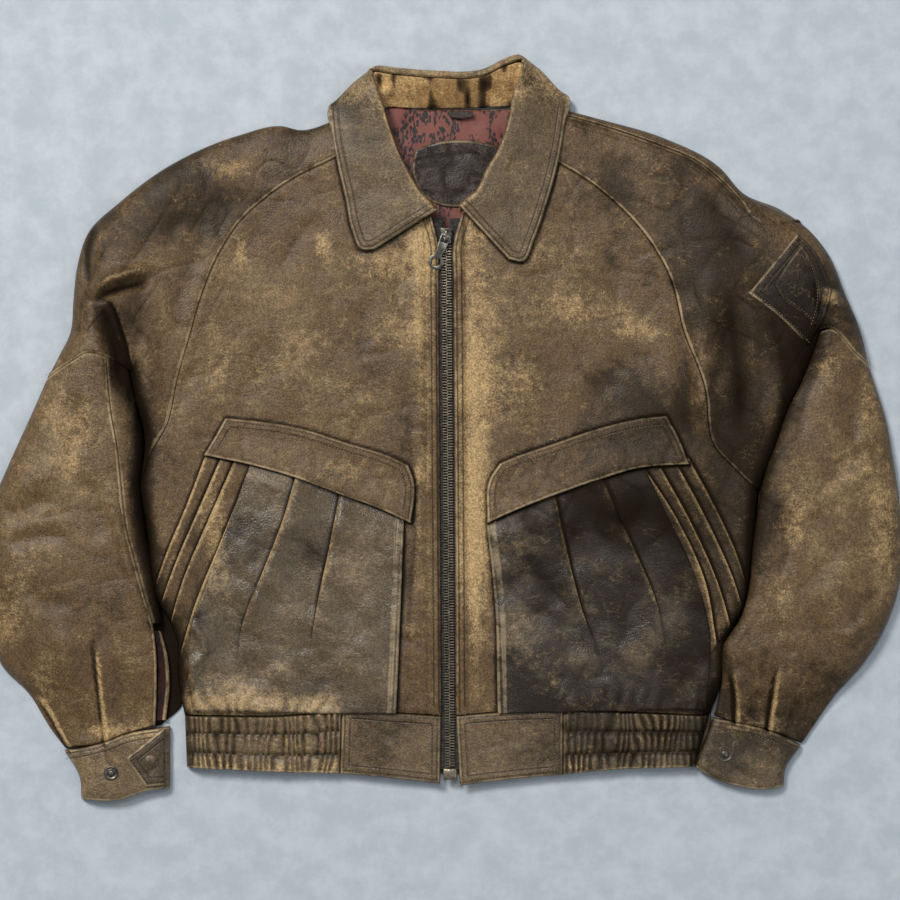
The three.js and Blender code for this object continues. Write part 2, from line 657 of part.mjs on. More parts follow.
function addSlider() {
  const x = zipX(sliderY);
  const plateZ = lay(x, sliderY) - chainDrop + seamGap;
  const top = plateZ + sliderTop;
  const plateOutline = [
    [x - 6, sliderY + 8, 2], [x + 6, sliderY + 8, 2],
    [x + 4.6, sliderY - 8, 2], [x - 4.6, sliderY - 8, 2],
  ];
  const plate = flat(plateOutline, sliderTop, plateZ);
  // The bridge: an arch along the zip, with room for the pull's bar
  const arch = new THREE.Shape();
  arch.moveTo(-6, -0.5);
  arch.lineTo(-6, 2.6);
  arch.quadraticCurveTo(-6, 4.6, -3.5, 4.6);
  arch.lineTo(3.5, 4.6);
  arch.quadraticCurveTo(6, 4.6, 6, 2.6);
  arch.lineTo(6, -0.5);
  arch.lineTo(4.4, -0.5);
  arch.lineTo(4.4, 2.6);
  arch.quadraticCurveTo(4.4, 3.2, 3, 3.2);
  arch.lineTo(-3, 3.2);
  arch.quadraticCurveTo(-4.4, 3.2, -4.4, 2.6);
  arch.lineTo(-4.4, -0.5);
  const bridge = new THREE.ExtrudeGeometry(arch, { depth: bridgeWidth, bevelEnabled: false, curveSegments: 4 });
  bridge.translate(0, 0, -bridgeWidth / 2).rotateX(Math.PI / 2).rotateZ(Math.PI / 2);
  bridge.translate(x, sliderY, top);
  add("zip_slider", join(plate, bridge), antiqueMetal, 0.4, 0.8);

  // The pull, along its own -Y from the bar at its origin
  const outline = new THREE.Shape();
  outline.moveTo(-4.8, 1);
  outline.lineTo(4.8, 1);
  outline.lineTo(4.8, -9);
  outline.lineTo(3.2, -pullLength + 7);
  outline.absarc(0, -pullLength, 7.7, Math.PI / 2 - 0.42, -Math.PI * 1.5 + 0.42, true);
  outline.lineTo(-4.8, -9);
  const window = new THREE.Path();
  window.moveTo(-3.6, -1);
  window.lineTo(-3.6, -7.5);
  window.lineTo(3.6, -7.5);
  window.lineTo(3.6, -1);
  const eye = new THREE.Path();
  eye.absarc(0, -pullLength, 4.6, 0, Math.PI * 2, false);
  outline.holes.push(window, eye);
  const plain = new THREE.ExtrudeGeometry(outline, { depth: pullWall, bevelEnabled: false, curveSegments: 10 });
  const pull = add("zip_pull", plain.translate(0, 0, -pullWall / 2), antiqueMetal, 0.4, 0.8);
  pull.rotation.set(THREE.MathUtils.degToRad(pullDip), 0, THREE.MathUtils.degToRad(-pullYaw), "ZXY");
  pull.position.set(x, sliderY, top + barLift);
}

// The collar: the fall from the fold to its edge, and the stand from the fold down to the neck seam
const fold = [
  [-12, 219], [-29, 237], [-41, 258], [-52, 281], [-62, 311], [-71, 340], [-77, 359], [-52, 357],
  [-14, 354], [36, 356], [59, 367], [73, 371], [66, 335], [61, 308], [53, 283], [39, 258], [30, 239], [12, 223],
];
const fallEdge = [
  [-80, 176], [-96, 200], [-102, 229], [-110, 264], [-116, 296], [-119, 325], [-92, 334], [-56, 333],
  [-14, 333], [36, 333], [62, 333], [90, 340], [121, 334], [117, 306], [110, 267], [99, 227], [84, 186], [68, 165],
];
const seam = [
  [-15, 216], [-44, 239], [-69, 263], [-86, 284], [-91, 300], [-86, 318], [-66, 324], [-40, 323.5],
  [-14, 323.5], [36, 324], [50, 324.5], [62, 325], [86, 318], [91, 300], [85, 284], [67, 265], [41, 241], [12, 217],
];
const backRows = [6, 7, 8, 9, 10, 11]; // rows that turn under, behind the neck

function fallRow([fx, fy], [ex, ey], i) {
  const shape = [0, 0.12, 0.35, 0.7, 1];
  if (!backRows.includes(i))
    return shape.map((t) => {
      const [x, y] = [mix(fx, ex, t), mix(fy, ey, t)];
      return [x, y, lay(x, y) + mix(foldLift, edgeLift, ease(t))];
    });
  const length = Math.hypot(fx - ex, fy - ey);
  const [ox, oy] = [(fx - ex) / length, (fy - ey) / length];
  const bend = [[0, backFold], [4, backFold - 5], [5, 8], [-2, 0], [-length, 0]];
  return bend.map(([out, z]) => [fx + ox * out, fy + oy * out, z]);
}

function addCollar() {
  const outer = fold.map((f, i) => fallRow(f, fallEdge[i], i));
  const at = (i, j) => new THREE.Vector3(...outer[i][j]);
  const inner = outer.map((row, i) =>
    row.map((p, j) => {
      const across = at(i, Math.min(j + 1, 4)).sub(at(i, Math.max(j - 1, 0)));
      const lengthwise = at(Math.min(i + 1, outer.length - 1), j).sub(at(Math.max(i - 1, 0), j));
      const normal = lengthwise.cross(across).normalize();
      const behind = j < 3 ? new THREE.Vector3(0, 1, 0.4) : new THREE.Vector3(0, 0, -1);
      const outwards = backRows.includes(i) ? behind : new THREE.Vector3(0, 0, 1);
      if (normal.dot(outwards) < 0) normal.negate();
      return new THREE.Vector3(...p).addScaledVector(normal, -collarWall).toArray();
    }),
  );
  add("collar_fall", wallBetween(outer, inner), tan);

  const shape = [0, 0.3, 0.65, 1];
  const top = fold.map(([fx, fy], i) => {
    const [sx, sy] = seam[i];
    const back = backRows.includes(i);
    const foldZ = back ? backFold - 5 : lay(fx, fy) + foldLift - collarWall - 0.6;
    const seamZ = back ? rim + 2 : Math.max(lay(sx, sy) - 1, rim + 2);
    const clear = back ? 0.22 : 0.14; // inside the fold, as a part of the stand's height
    return shape.map((s) => {
      const t = mix(clear, 1, s);
      return [mix(fx, sx, t), mix(fy, sy, t), mix(foldZ, seamZ, t * 0.6 + 0.4 * t * t)];
    });
  });
  add("collar_stand", wallBetween(top, move(top, -1.6)), tan);

  const liningWall = 1.2;
  const onLining = rim + liningWall + seamGap;
  const liningOutline = [
    [-62, 320.5], [57, 321], [84, 300], [80, 262], [45, 232], [16, 205], [-18, 205], [-50, 235],
    [-80, 265], [-88, 300],
  ];
  add("neck_lining", flat(liningOutline, liningWall, rim), liningRed);
  const label = new THREE.Shape();
  label.absellipse(10, 257, 46, 33, 0, Math.PI * 2, false);
  add("neck_label", extruded(label, 1, onLining), darkBrown);
  add("hanger_loop", flat([[0, 314], [26, 314], [26, 319], [0, 319]], 1, onLining), darkBrown);
}

addBack();
addFronts();
addSleeves();
addCuffs();
addWaistband();
addPockets();
addSleevePatch();
addZip();
addCollar();

export default garment;
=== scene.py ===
import math
import bmesh
import bpy
import numpy as np
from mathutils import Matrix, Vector
from mathutils.kdtree import KDTree


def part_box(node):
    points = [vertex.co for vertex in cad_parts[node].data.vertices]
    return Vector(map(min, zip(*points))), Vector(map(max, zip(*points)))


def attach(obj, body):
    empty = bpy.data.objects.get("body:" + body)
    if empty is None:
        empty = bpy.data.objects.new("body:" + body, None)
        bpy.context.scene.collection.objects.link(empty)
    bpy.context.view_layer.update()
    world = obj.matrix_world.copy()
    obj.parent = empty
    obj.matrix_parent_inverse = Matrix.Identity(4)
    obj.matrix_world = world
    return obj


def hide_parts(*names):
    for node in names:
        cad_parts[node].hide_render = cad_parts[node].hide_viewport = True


# A worn leather blouson laid flat on its back, zip closed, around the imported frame.
# Lines and sizes are typed in millimetres, in plan: x across, y up towards the collar. Meshes are in metres.

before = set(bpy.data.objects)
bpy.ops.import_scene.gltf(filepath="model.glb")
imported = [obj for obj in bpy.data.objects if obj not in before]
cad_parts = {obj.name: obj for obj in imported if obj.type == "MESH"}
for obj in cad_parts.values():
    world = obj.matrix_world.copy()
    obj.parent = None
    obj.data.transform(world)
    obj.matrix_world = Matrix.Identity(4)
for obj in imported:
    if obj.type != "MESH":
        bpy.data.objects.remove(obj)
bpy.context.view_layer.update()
mm = 0.001

view = {"centre": (0.002, -0.020), "height": 3.015, "lens": 120, "sensor": 36}
floorLook = {"size": 8, "level": -0.0003, "pale": (0.46, 0.50, 0.54), "shade": (0.38, 0.425, 0.465)}
sky = {"colour": (0.86, 0.93, 1.0, 1), "strength": 0.26}
lampsAim = (0.0, -0.03, 0.0)
lamps = {
    "keyLight": {"at": (-2.2, 2.6, 4.0), "size": 1.5, "power": 240, "colour": (1.0, 0.98, 0.95)},
    "fillLight": {"at": (2.4, -0.8, 3.4), "size": 3.0, "power": 30, "colour": (0.93, 0.96, 1.0)},
    "topLight": {"at": (-0.3, 1.3, 4.0), "size": 1.1, "power": 32, "colour": (1.0, 1.0, 1.0)},
}


def link(thing):
    bpy.context.scene.collection.objects.link(thing)
    return thing


def aim(thing, place):
    thing.location = place
    thing.rotation_euler = (Vector(lampsAim) - Vector(place)).to_track_quat("-Z", "Y").to_euler()


def makeStudio():
    camera = link(bpy.data.objects.new("camera", bpy.data.cameras.new("camera")))
    camera.data.sensor_width = view["sensor"]
    camera.data.lens = view["lens"]
    camera.location = (*view["centre"], view["height"])
    bpy.context.scene.camera = camera
    for name, lamp in lamps.items():
        light = link(bpy.data.objects.new(name, bpy.data.lights.new(name, "AREA")))
        light.data.shape = "DISK"
        light.data.size = lamp["size"]
        light.data.energy = lamp["power"]
        light.data.color = lamp["colour"]
        aim(light, lamp["at"])
    world = bpy.data.worlds.new("world")
    world.use_nodes = True
    background = world.node_tree.nodes["Background"]
    background.inputs["Color"].default_value = sky["colour"]
    background.inputs["Strength"].default_value = sky["strength"]
    bpy.context.scene.world = world
    bpy.context.scene.view_settings.view_transform = "Standard"


def put(tree, kind, inputs=None, **settings):
    node = tree.nodes.new(kind)
    for key, value in settings.items():
        setattr(node, key, value)
    for key, value in (inputs or {}).items():
        if isinstance(value, bpy.types.NodeSocket):
            tree.links.new(value, node.inputs[key])
        else:
            node.inputs[key].default_value = value
    return node


def maths(tree, operation, a, b=0.0, clamp=False):
    return put(tree, "ShaderNodeMath", {0: a, 1: b}, operation=operation, use_clamp=clamp).outputs[0]


def times(tree, a, b):
    return maths(tree, "MULTIPLY", a, b)


def less(tree, a, b):
    return maths(tree, "SUBTRACT", a, b)


def plus(tree, *values):
    total = values[0]
    for value in values[1:]:
        total = maths(tree, "ADD", total, value)
    return total


def blendOf(tree, factor, a, b, how="MIX"):
    return put(tree, "ShaderNodeMix", {0: factor, 6: a, 7: b}, data_type="RGBA", blend_type=how).outputs[2]


def ramp(tree, value, low, high, atLow=0.0, atHigh=1.0):  # a soft step from one value to another
    inputs = {"Value": value, "From Min": low, "From Max": high, "To Min": atLow, "To Max": atHigh}
    return put(tree, "ShaderNodeMapRange", inputs, interpolation_type="SMOOTHSTEP").outputs[0]


def noiseOf(tree, place, scale, detail=3.0, rough=0.6, distortion=0.0):
    inputs = {"Vector": place, "Scale": scale, "Detail": detail, "Roughness": rough, "Distortion": distortion}
    return put(tree, "ShaderNodeTexNoise", inputs).outputs["Fac"]


def stretched(tree, place, scale, turn):  # the pattern's place, turned and drawn out
    values = {"Vector": place, "Rotation": (0, 0, turn), "Scale": scale}
    return put(tree, "ShaderNodeMapping", values).outputs[0]


def newGroup(name, inputs, outputs):
    group = bpy.data.node_groups.new(name, "ShaderNodeTree")
    for label, kind, value in inputs:
        socket = group.interface.new_socket(label, in_out="INPUT", socket_type=kind)
        socket.default_value = value
    for label, kind in outputs:
        group.interface.new_socket(label, in_out="OUTPUT", socket_type=kind)
    return group, group.nodes.new("NodeGroupInput").outputs, group.nodes.new("NodeGroupOutput").inputs


def colour(red, green, blue):
    return (red, green, blue, 1)


leathers = {
    "brownLeather": {
        "Deep": (0.034, 0.020, 0.0085), "Middle": (0.105, 0.064, 0.029), "Light": (0.205, 0.134, 0.064),
        "Bare": (0.385, 0.258, 0.118), "Speckle": 0.7, "Gloss": 0.0, "sheen": 0.24, "bump": 0.6,
    },
    "greyLeather": {
        "Deep": (0.022, 0.0148, 0.0082), "Middle": (0.088, 0.061, 0.033), "Light": (0.175, 0.124, 0.067),
        "Bare": (0.36, 0.245, 0.120), "Speckle": 0.6, "Gloss": 0.08, "sheen": 0.42, "bump": 0.6,
    },
    "patchLeather": {
        "Deep": (0.012, 0.008, 0.005), "Middle": (0.032, 0.022, 0.013), "Light": (0.080, 0.055, 0.030),
        "Bare": (0.30, 0.20, 0.10), "Speckle": 0.8, "Gloss": 0.0, "sheen": 0.2, "bump": 0.6,
    },
    "bandLeather": {
        "Deep": (0.044, 0.029, 0.014), "Middle": (0.122, 0.082, 0.042), "Light": (0.27, 0.184, 0.095),
        "Bare": (0.44, 0.30, 0.14), "Speckle": 0.65, "Gloss": 0.08, "sheen": 0.36, "bump": 0.6,
    },
    "darkBandLeather": {
        "Deep": (0.024, 0.015, 0.0085), "Middle": (0.062, 0.042, 0.023), "Light": (0.14, 0.096, 0.052),
        "Bare": (0.42, 0.28, 0.14), "Speckle": 0.7, "Gloss": 0.02, "sheen": 0.3, "bump": 0.6,
    },
    "collarLeather": {
        "Deep": (0.042, 0.028, 0.014), "Middle": (0.108, 0.074, 0.039), "Light": (0.190, 0.134, 0.076),
        "Bare": (0.38, 0.255, 0.125), "Speckle": 0.65, "Gloss": 0.0, "sheen": 0.26, "bump": 0.6,
    },
    "goldenLeather": {
        "Deep": (0.095, 0.052, 0.020), "Middle": (0.27, 0.155, 0.060), "Light": (0.42, 0.26, 0.105),
        "Bare": (0.50, 0.32, 0.14), "Speckle": 0.6, "Gloss": 0.0, "sheen": 0.22, "bump": 0.5,
    },
    "labelLeather": {
        "Deep": (0.010, 0.0065, 0.005), "Middle": (0.024, 0.0155, 0.011), "Light": (0.055, 0.036, 0.025),
        "Bare": (0.16, 0.10, 0.06), "Speckle": 0.6, "Gloss": 0.05, "sheen": 0.24, "bump": 0.5,
    },
}

# The sizes of the leather's patterns; the drawn-out ones have a size along each axis, and a turn
patternSize = {"broad": 6.5, "cloudy": 27, "fleck": 120, "pebble": 520.0}
drawnOut = {
    "grain": ((560, 640, 600), 0.62), "threads": ((420, 150, 200), -0.6), "creases": ((26, 44, 30), 0.4),
    "scuffs": ((34, 330, 34), 0.5), "scratches": ((420, 26, 26), 0.25),
}
toneMix = {"broad": 0.38, "cloudy": 0.36, "fleck": 0.26}
toneMoved = {"worn": 0.10, "dark": 0.36}
rubMix = {"cloudy": 1.3, "fleck": 1.3, "grain": 0.9}
heightMix = {"grain": 0.45, "pebble": 0.35, "fleck": 0.8, "cloudy": 2.2, "crinkle": -0.3, "groove": -0.6,
             "gap": -0.8}
seamShades = {"piping": (0.50, 0.375, 0.22), "groove": (0.022, 0.013, 0.007), "gapDarkFinishAndPaintedShade": (0.011, 0.007, 0.004)}
nearRow = 3.2  # how far a seam's two rows of stitches run from it
farRow = 8.6


def leatherPatterns(tree):
    place = put(tree, "ShaderNodeTexCoord").outputs["Object"]

    def drawn(name, detail, rough, distortion=0.0):
        scale, turn = drawnOut[name]
        return noiseOf(tree, stretched(tree, place, scale, turn), 1.0, detail, rough, distortion)

    pebble = put(tree, "ShaderNodeTexVoronoi", {"Vector": place, "Scale": patternSize["pebble"]})
    return {
        "broad": noiseOf(tree, place, patternSize["broad"], 4, 0.62, 0.6),
        "cloudy": noiseOf(tree, place, patternSize["cloudy"], 5, 0.66, 0.3),
        "fleck": noiseOf(tree, place, patternSize["fleck"], 4, 0.7),
        "grain": drawn("grain", 3, 0.68, 0.7),
        "threads": drawn("threads", 3, 0.7),
        "creases": drawn("creases", 4, 0.62, 0.25),
        "scuffs": drawn("scuffs", 2, 0.5),
        "scratches": drawn("scratches", 2, 0.5),
        "pebble": pebble.outputs["Distance"],
    }


def bodyTone(tree, given, seen):  # large clouds, then finer ones, moved by how rubbed the place is and by Dark, which holds darker finish and painted shade
    worn = times(tree, given["Wear"], toneMoved["worn"])
    moved = less(tree, worn, times(tree, given["Dark"], toneMoved["dark"]))
    tone = plus(tree, *[times(tree, seen[name], amount) for name, amount in toneMix.items()], moved)
    shadeOf = blendOf(tree, ramp(tree, tone, 0.30, 0.48), given["Deep"], given["Middle"])
    return blendOf(tree, ramp(tree, tone, 0.48, 0.66), shadeOf, given["Light"])


def marksOn(tree, seen, lines):  # scuffs, scratches and pale crease lines
    scuffs = times(tree, ramp(tree, seen["scuffs"], 0.66, 0.74), ramp(tree, seen["fleck"], 0.45, 0.62))
    scratches = times(tree, ramp(tree, seen["scratches"], 0.68, 0.76), ramp(tree, seen["cloudy"], 0.42, 0.6))
    return maths(tree, "MAXIMUM", times(tree, maths(tree, "MAXIMUM", scuffs, scratches), 0.5), lines)


def grainLight(tree, given, seen):  # the fine grain: dark between its pebbles and paler on top of them
    mixed = plus(tree, times(tree, seen["grain"], 0.72), times(tree, seen["threads"], 0.28))
    light = ramp(tree, mixed, 0.40, 0.61, 0.50, 1.62)
    return plus(tree, times(tree, less(tree, light, 1.0), given["Speckle"]), 1.0)


def pipingMask(tree, given, seen):  # the rubbed edge of a seam, broken up by the clouds
    reach = plus(tree, times(tree, seen["cloudy"], 3.9), times(tree, seen["fleck"], 1.6))
    piping = ramp(tree, maths(tree, "DIVIDE", given["Seam"], reach), 0.45, 1.0, 1, 0)
    broken = ramp(tree, plus(tree, seen["fleck"], seen["cloudy"]), 0.78, 1.12, 0.18, 1)
    return maths(tree, "MULTIPLY", times(tree, piping, broken), given["Piping"], True)


def stitchGroove(tree, given):
    rows = []
    for distance in (nearRow, farRow):
        away = maths(tree, "ABSOLUTE", less(tree, given["Seam"], distance))
        rows.append(ramp(tree, away, 0.25, 1.25, 1, 0))
    return times(tree, maths(tree, "MAXIMUM", *rows), given["Rows"])


def leatherGroup():
    shade, value = "NodeSocketColor", "NodeSocketFloat"
    usual = leathers["brownLeather"]
    inputs = [(name, shade, colour(*usual[name])) for name in ("Deep", "Middle", "Light", "Bare")]
    inputs += [("Seam", value, 50.0), ("Speckle", value, 1.0)]
    inputs += [(name, value, 0.0) for name in ("Wear", "Dark", "Piping", "Rows", "Gloss")]
    outputs = [("Color", shade), ("Roughness", value), ("Sheen", value), ("Height", value)]
    tree, given, out = newGroup("wornLeather", inputs, outputs)
    seen = leatherPatterns(tree)
    cloudy, grain = seen["cloudy"], seen["grain"]
    # Crease lines where a soft noise passes its middle, only here and there
    crossed = maths(tree, "ABSOLUTE", less(tree, seen["creases"], 0.5))
    lines = times(tree, ramp(tree, crossed, 0.0, 0.013, 1, 0), ramp(tree, cloudy, 0.46, 0.6))
    seen["crinkle"] = times(tree, ramp(tree, crossed, 0.0, 0.09, 1, 0), ramp(tree, seen["broad"], 0.4, 0.6))
    shadeOf = bodyTone(tree, given, seen)
    # Bare leather where the finish has rubbed off
    rubbed = given["Wear"]
    for name, amount in rubMix.items():
        rubbed = plus(tree, rubbed, times(tree, less(tree, seen[name], 0.5), amount))
    bareMask = times(tree, ramp(tree, rubbed, 0.1, 1.05), ramp(tree, given["Wear"], 0.02, 0.3))
    shadeOf = blendOf(tree, times(tree, bareMask, 0.95), shadeOf, given["Bare"])
    shadeOf = blendOf(tree, times(tree, marksOn(tree, seen, lines), 0.36), shadeOf, given["Bare"])
    shadeOf = blendOf(tree, 1.0, shadeOf, grainLight(tree, given, seen), "MULTIPLY")
    # Rubbed piping along a seam's edge, its rows of stitches and the dark seam itself
    piping = pipingMask(tree, given, seen)
    shadeOf = blendOf(tree, times(tree, piping, 0.8), shadeOf, colour(*seamShades["piping"]))
    seen["groove"] = stitchGroove(tree, given)
    shadeOf = blendOf(tree, times(tree, seen["groove"], 0.68), shadeOf, colour(*seamShades["groove"]))
    unrubbed = less(tree, 1.0, times(tree, given["Piping"], 0.85))
    seen["gap"] = times(tree, ramp(tree, given["Seam"], 0.2, 1.5, 1, 0), unrubbed)
    # Near-black over the dark seam gap and wherever Dark is high: Dark holds darker finish and painted shade
    # (creases, hollows, folded edges, contact shadows)
    gapDarkFinishAndPaintedShade = maths(tree, "MAXIMUM", times(tree, seen["gap"], 0.8), ramp(tree, given["Dark"], 0.15, 1.05), True)
    shadeOf = blendOf(tree, gapDarkFinishAndPaintedShade, shadeOf, colour(*seamShades["gapDarkFinishAndPaintedShade"]))
    tree.links.new(shadeOf, out["Color"])
    dull = plus(tree, ramp(tree, cloudy, 0.35, 0.7, 0.34, 0.52), times(tree, bareMask, 0.16),
                times(tree, less(tree, grain, 0.5), 0.25), times(tree, gapDarkFinishAndPaintedShade, 0.4))
    tree.links.new(less(tree, dull, given["Gloss"]), out["Roughness"])
    # where the painted shade and the seam gap darken the colour, the sheen is dimmed too
    tree.links.new(less(tree, 1.0, times(tree, gapDarkFinishAndPaintedShade, 0.9)), out["Sheen"])
    height = plus(tree, *[times(tree, seen[name], amount) for name, amount in heightMix.items()])
    tree.links.new(height, out["Height"])
    return tree


def attribute(tree, name):
    return put(tree, "ShaderNodeAttribute", attribute_name=name).outputs["Fac"]


def leatherMaterial(name, look, group):
    material = bpy.data.materials.new(name)
    material.use_nodes = True
    tree = material.node_tree
    shader = tree.nodes["Principled BSDF"]
    surface = put(tree, "ShaderNodeGroup", node_tree=group)
    for key in ("Deep", "Middle", "Light", "Bare"):
        surface.inputs[key].default_value = colour(*look[key])
    for key in ("Speckle", "Gloss"):
        surface.inputs[key].default_value = look[key]
    for key in ("Seam", "Wear", "Dark", "Piping", "Rows"):
        tree.links.new(attribute(tree, key.lower()), surface.inputs[key])
    settings = {"Height": surface.outputs["Height"], "Strength": look["bump"], "Distance": 0.0011}
    tree.links.new(surface.outputs["Color"], shader.inputs["Base Color"])
    tree.links.new(surface.outputs["Roughness"], shader.inputs["Roughness"])
    tree.links.new(put(tree, "ShaderNodeBump", settings).outputs[0], shader.inputs["Normal"])
    tree.links.new(times(tree, surface.outputs["Sheen"], look["sheen"]), shader.inputs["Specular IOR Level"])
    return material


plainLooks = {
    "metal": {"name": "agedBronze", "dark": (0.10, 0.085, 0.065), "light": (0.38, 0.32, 0.24),
              "scale": 260, "rough": 0.36, "metal": 0.85, "bump": 0.1},
    "darkMetal": {"name": "darkBronze", "dark": (0.030, 0.028, 0.024), "light": (0.16, 0.145, 0.12),
                  "scale": 220, "rough": 0.34, "metal": 0.85, "bump": 0.08},
    "dullBronze": {"name": "dullBronze", "dark": (0.036, 0.026, 0.016), "light": (0.12, 0.086, 0.050),
                   "scale": 320, "rough": 0.52, "metal": 0.5, "bump": 0.1},
    "stud": {"name": "studBronze", "dark": (0.040, 0.036, 0.030), "light": (0.17, 0.155, 0.125),
             "scale": 240, "rough": 0.40, "metal": 0.85, "bump": 0.08},
    "brass": {"name": "rubbedBronze", "dark": (0.060, 0.056, 0.048), "light": (0.24, 0.225, 0.19),
              "scale": 200, "rough": 0.32, "metal": 0.9, "bump": 0.08},
    "thread": {"name": "waxedThread", "dark": (0.06, 0.040, 0.022), "light": (0.33, 0.24, 0.14),
               "scale": 160, "rough": 0.7, "metal": 0, "bump": 0.3},
    "darkThread": {"name": "darkThread", "dark": (0.02, 0.014, 0.01), "light": (0.12, 0.085, 0.05),
                   "scale": 160, "rough": 0.7, "metal": 0, "bump": 0.3},
}


def plainMaterial(name, dark, light, scale, rough, metal=0.0, bump=0.3, detail=4.0):
    material = bpy.data.materials.new(name)
    material.use_nodes = True
    tree = material.node_tree
    shader = tree.nodes["Principled BSDF"]
    place = put(tree, "ShaderNodeTexCoord").outputs["Object"]
    pattern = noiseOf(tree, place, scale, detail, 0.7)
    shadeOf = blendOf(tree, ramp(tree, pattern, 0.35, 0.68), colour(*dark), colour(*light))
    tree.links.new(shadeOf, shader.inputs["Base Color"])
    tree.links.new(ramp(tree, pattern, 0.3, 0.7, rough + 0.12, rough - 0.1), shader.inputs["Roughness"])
    relief = put(tree, "ShaderNodeBump", {"Height": pattern, "Strength": bump, "Distance": 0.0004})
    tree.links.new(relief.outputs[0], shader.inputs["Normal"])
    shader.inputs["Metallic"].default_value = metal
    return material


def tapeMaterial():  # a woven zip tape, ribbed across
    material = plainMaterial("zipTapeCloth", (0.012, 0.010, 0.009), (0.04, 0.034, 0.028), 300, 0.85)
    tree = material.node_tree
    place = put(tree, "ShaderNodeTexCoord").outputs["Object"]
    ribs = put(tree, "ShaderNodeTexWave", {"Vector": place, "Scale": 180.0, "Distortion": 0.4},
               bands_direction="Y").outputs["Fac"]
    relief = put(tree, "ShaderNodeBump", {"Height": ribs, "Strength": 0.6, "Distance": 0.0005})
    tree.links.new(relief.outputs[0], tree.nodes["Principled BSDF"].inputs["Normal"])
    return material


liningLook = {"deep": (0.10, 0.026, 0.020), "light": (0.23, 0.078, 0.056), "print": (0.018, 0.014, 0.014)}


def liningMaterial(name, shade):  # a dull red print of dark leafy sprays, with a slight satin
    material = bpy.data.materials.new(name)
    material.use_nodes = True
    tree = material.node_tree
    shader = tree.nodes["Principled BSDF"]
    place = put(tree, "ShaderNodeTexCoord").outputs["Object"]
    clumps = noiseOf(tree, place, 42, 2, 0.5, 0.8)
    leant = stretched(tree, place, (1, 0.6, 1), 0.6)
    leaves = put(tree, "ShaderNodeTexVoronoi", {"Vector": leant, "Scale": 330.0})
    leaf = ramp(tree, leaves.outputs["Distance"], 0.42, 0.56, 1, 0)
    sprays = times(tree, ramp(tree, clumps, 0.44, 0.50), leaf)
    stems = put(tree, "ShaderNodeTexWave", {"Vector": place, "Scale": 34.0, "Distortion": 9.0, "Detail": 2.0})
    stem = times(tree, ramp(tree, stems.outputs["Fac"], 0.93, 0.98), ramp(tree, clumps, 0.42, 0.5))
    # a shade below 1 darkens the ground colours: a copy of the lining in painted shade
    deep, light = (colour(*[part * shade for part in liningLook[key]]) for key in ("deep", "light"))
    ground = blendOf(tree, noiseOf(tree, place, 90, 4), deep, light)
    printed = blendOf(tree, maths(tree, "MAXIMUM", sprays, stem), ground, colour(*liningLook["print"]))
    tree.links.new(printed, shader.inputs["Base Color"])
    shader.inputs["Roughness"].default_value = 0.5
    shader.inputs["Specular IOR Level"].default_value = 0.25
    weave = noiseOf(tree, place, 900, 2)
    relief = put(tree, "ShaderNodeBump", {"Height": weave, "Strength": 0.2, "Distance": 0.0004})
    tree.links.new(relief.outputs[0], shader.inputs["Normal"])
    return material


def makeMaterials():
    group = leatherGroup()
    made = {name: leatherMaterial(name, look, group) for name, look in leathers.items()}
    made.update({key: plainMaterial(**look) for key, look in plainLooks.items()})
    made["tape"] = tapeMaterial()
    made["lining"] = liningMaterial("printedLining", 1.0)
    # a darker copy of the lining, painted shade for the slit that lies deep between sleeve and body
    made["slitLining"] = liningMaterial("shadedLining", 0.4)
    return made


def makeFloor():
    floor = link(bpy.data.objects.new("floor", bpy.data.meshes.new("floor")))
    bm = bmesh.new()
    bmesh.ops.create_grid(bm, x_segments=1, y_segments=1, size=floorLook["size"] / 2)
    bmesh.ops.translate(bm, vec=(0, 0, floorLook["level"]), verts=bm.verts)
    bm.to_mesh(floor.data)
    bm.free()
    look = plainMaterial("paleFloor", floorLook["shade"], floorLook["pale"], 30, 0.75, 0, 0.15, 8)
    floor.data.materials.append(look)


makeStudio()
makeFloor()
materials = makeMaterials()
print("studio and materials made")


def smooth(points, perSpan=8):  # one smooth line through points, with as many steps in each span
    p = np.array(points, float)
    chord = np.linalg.norm(np.diff(p, axis=0), axis=1)[:, None]
    slope = np.diff(p, axis=0) / chord
    inner = (slope[:-1] * chord[1:] + slope[1:] * chord[:-1]) / (chord[:-1] + chord[1:])
    tangent = np.vstack([slope[:1], inner, slope[-1:]])
    t = np.linspace(0, 1, perSpan + 1)[1:, None]
    pieces = [p[:1]]
    for i, length in enumerate(chord):
        pieces.append(
            (2 * t**3 - 3 * t**2 + 1) * p[i] + (t**3 - 2 * t**2 + t) * length * tangent[i]
            + (3 * t**2 - 2 * t**3) * p[i + 1] + (t**3 - t**2) * length * tangent[i + 1]
        )
    return np.vstack(pieces)


def segment(*points):
    return smooth(points)


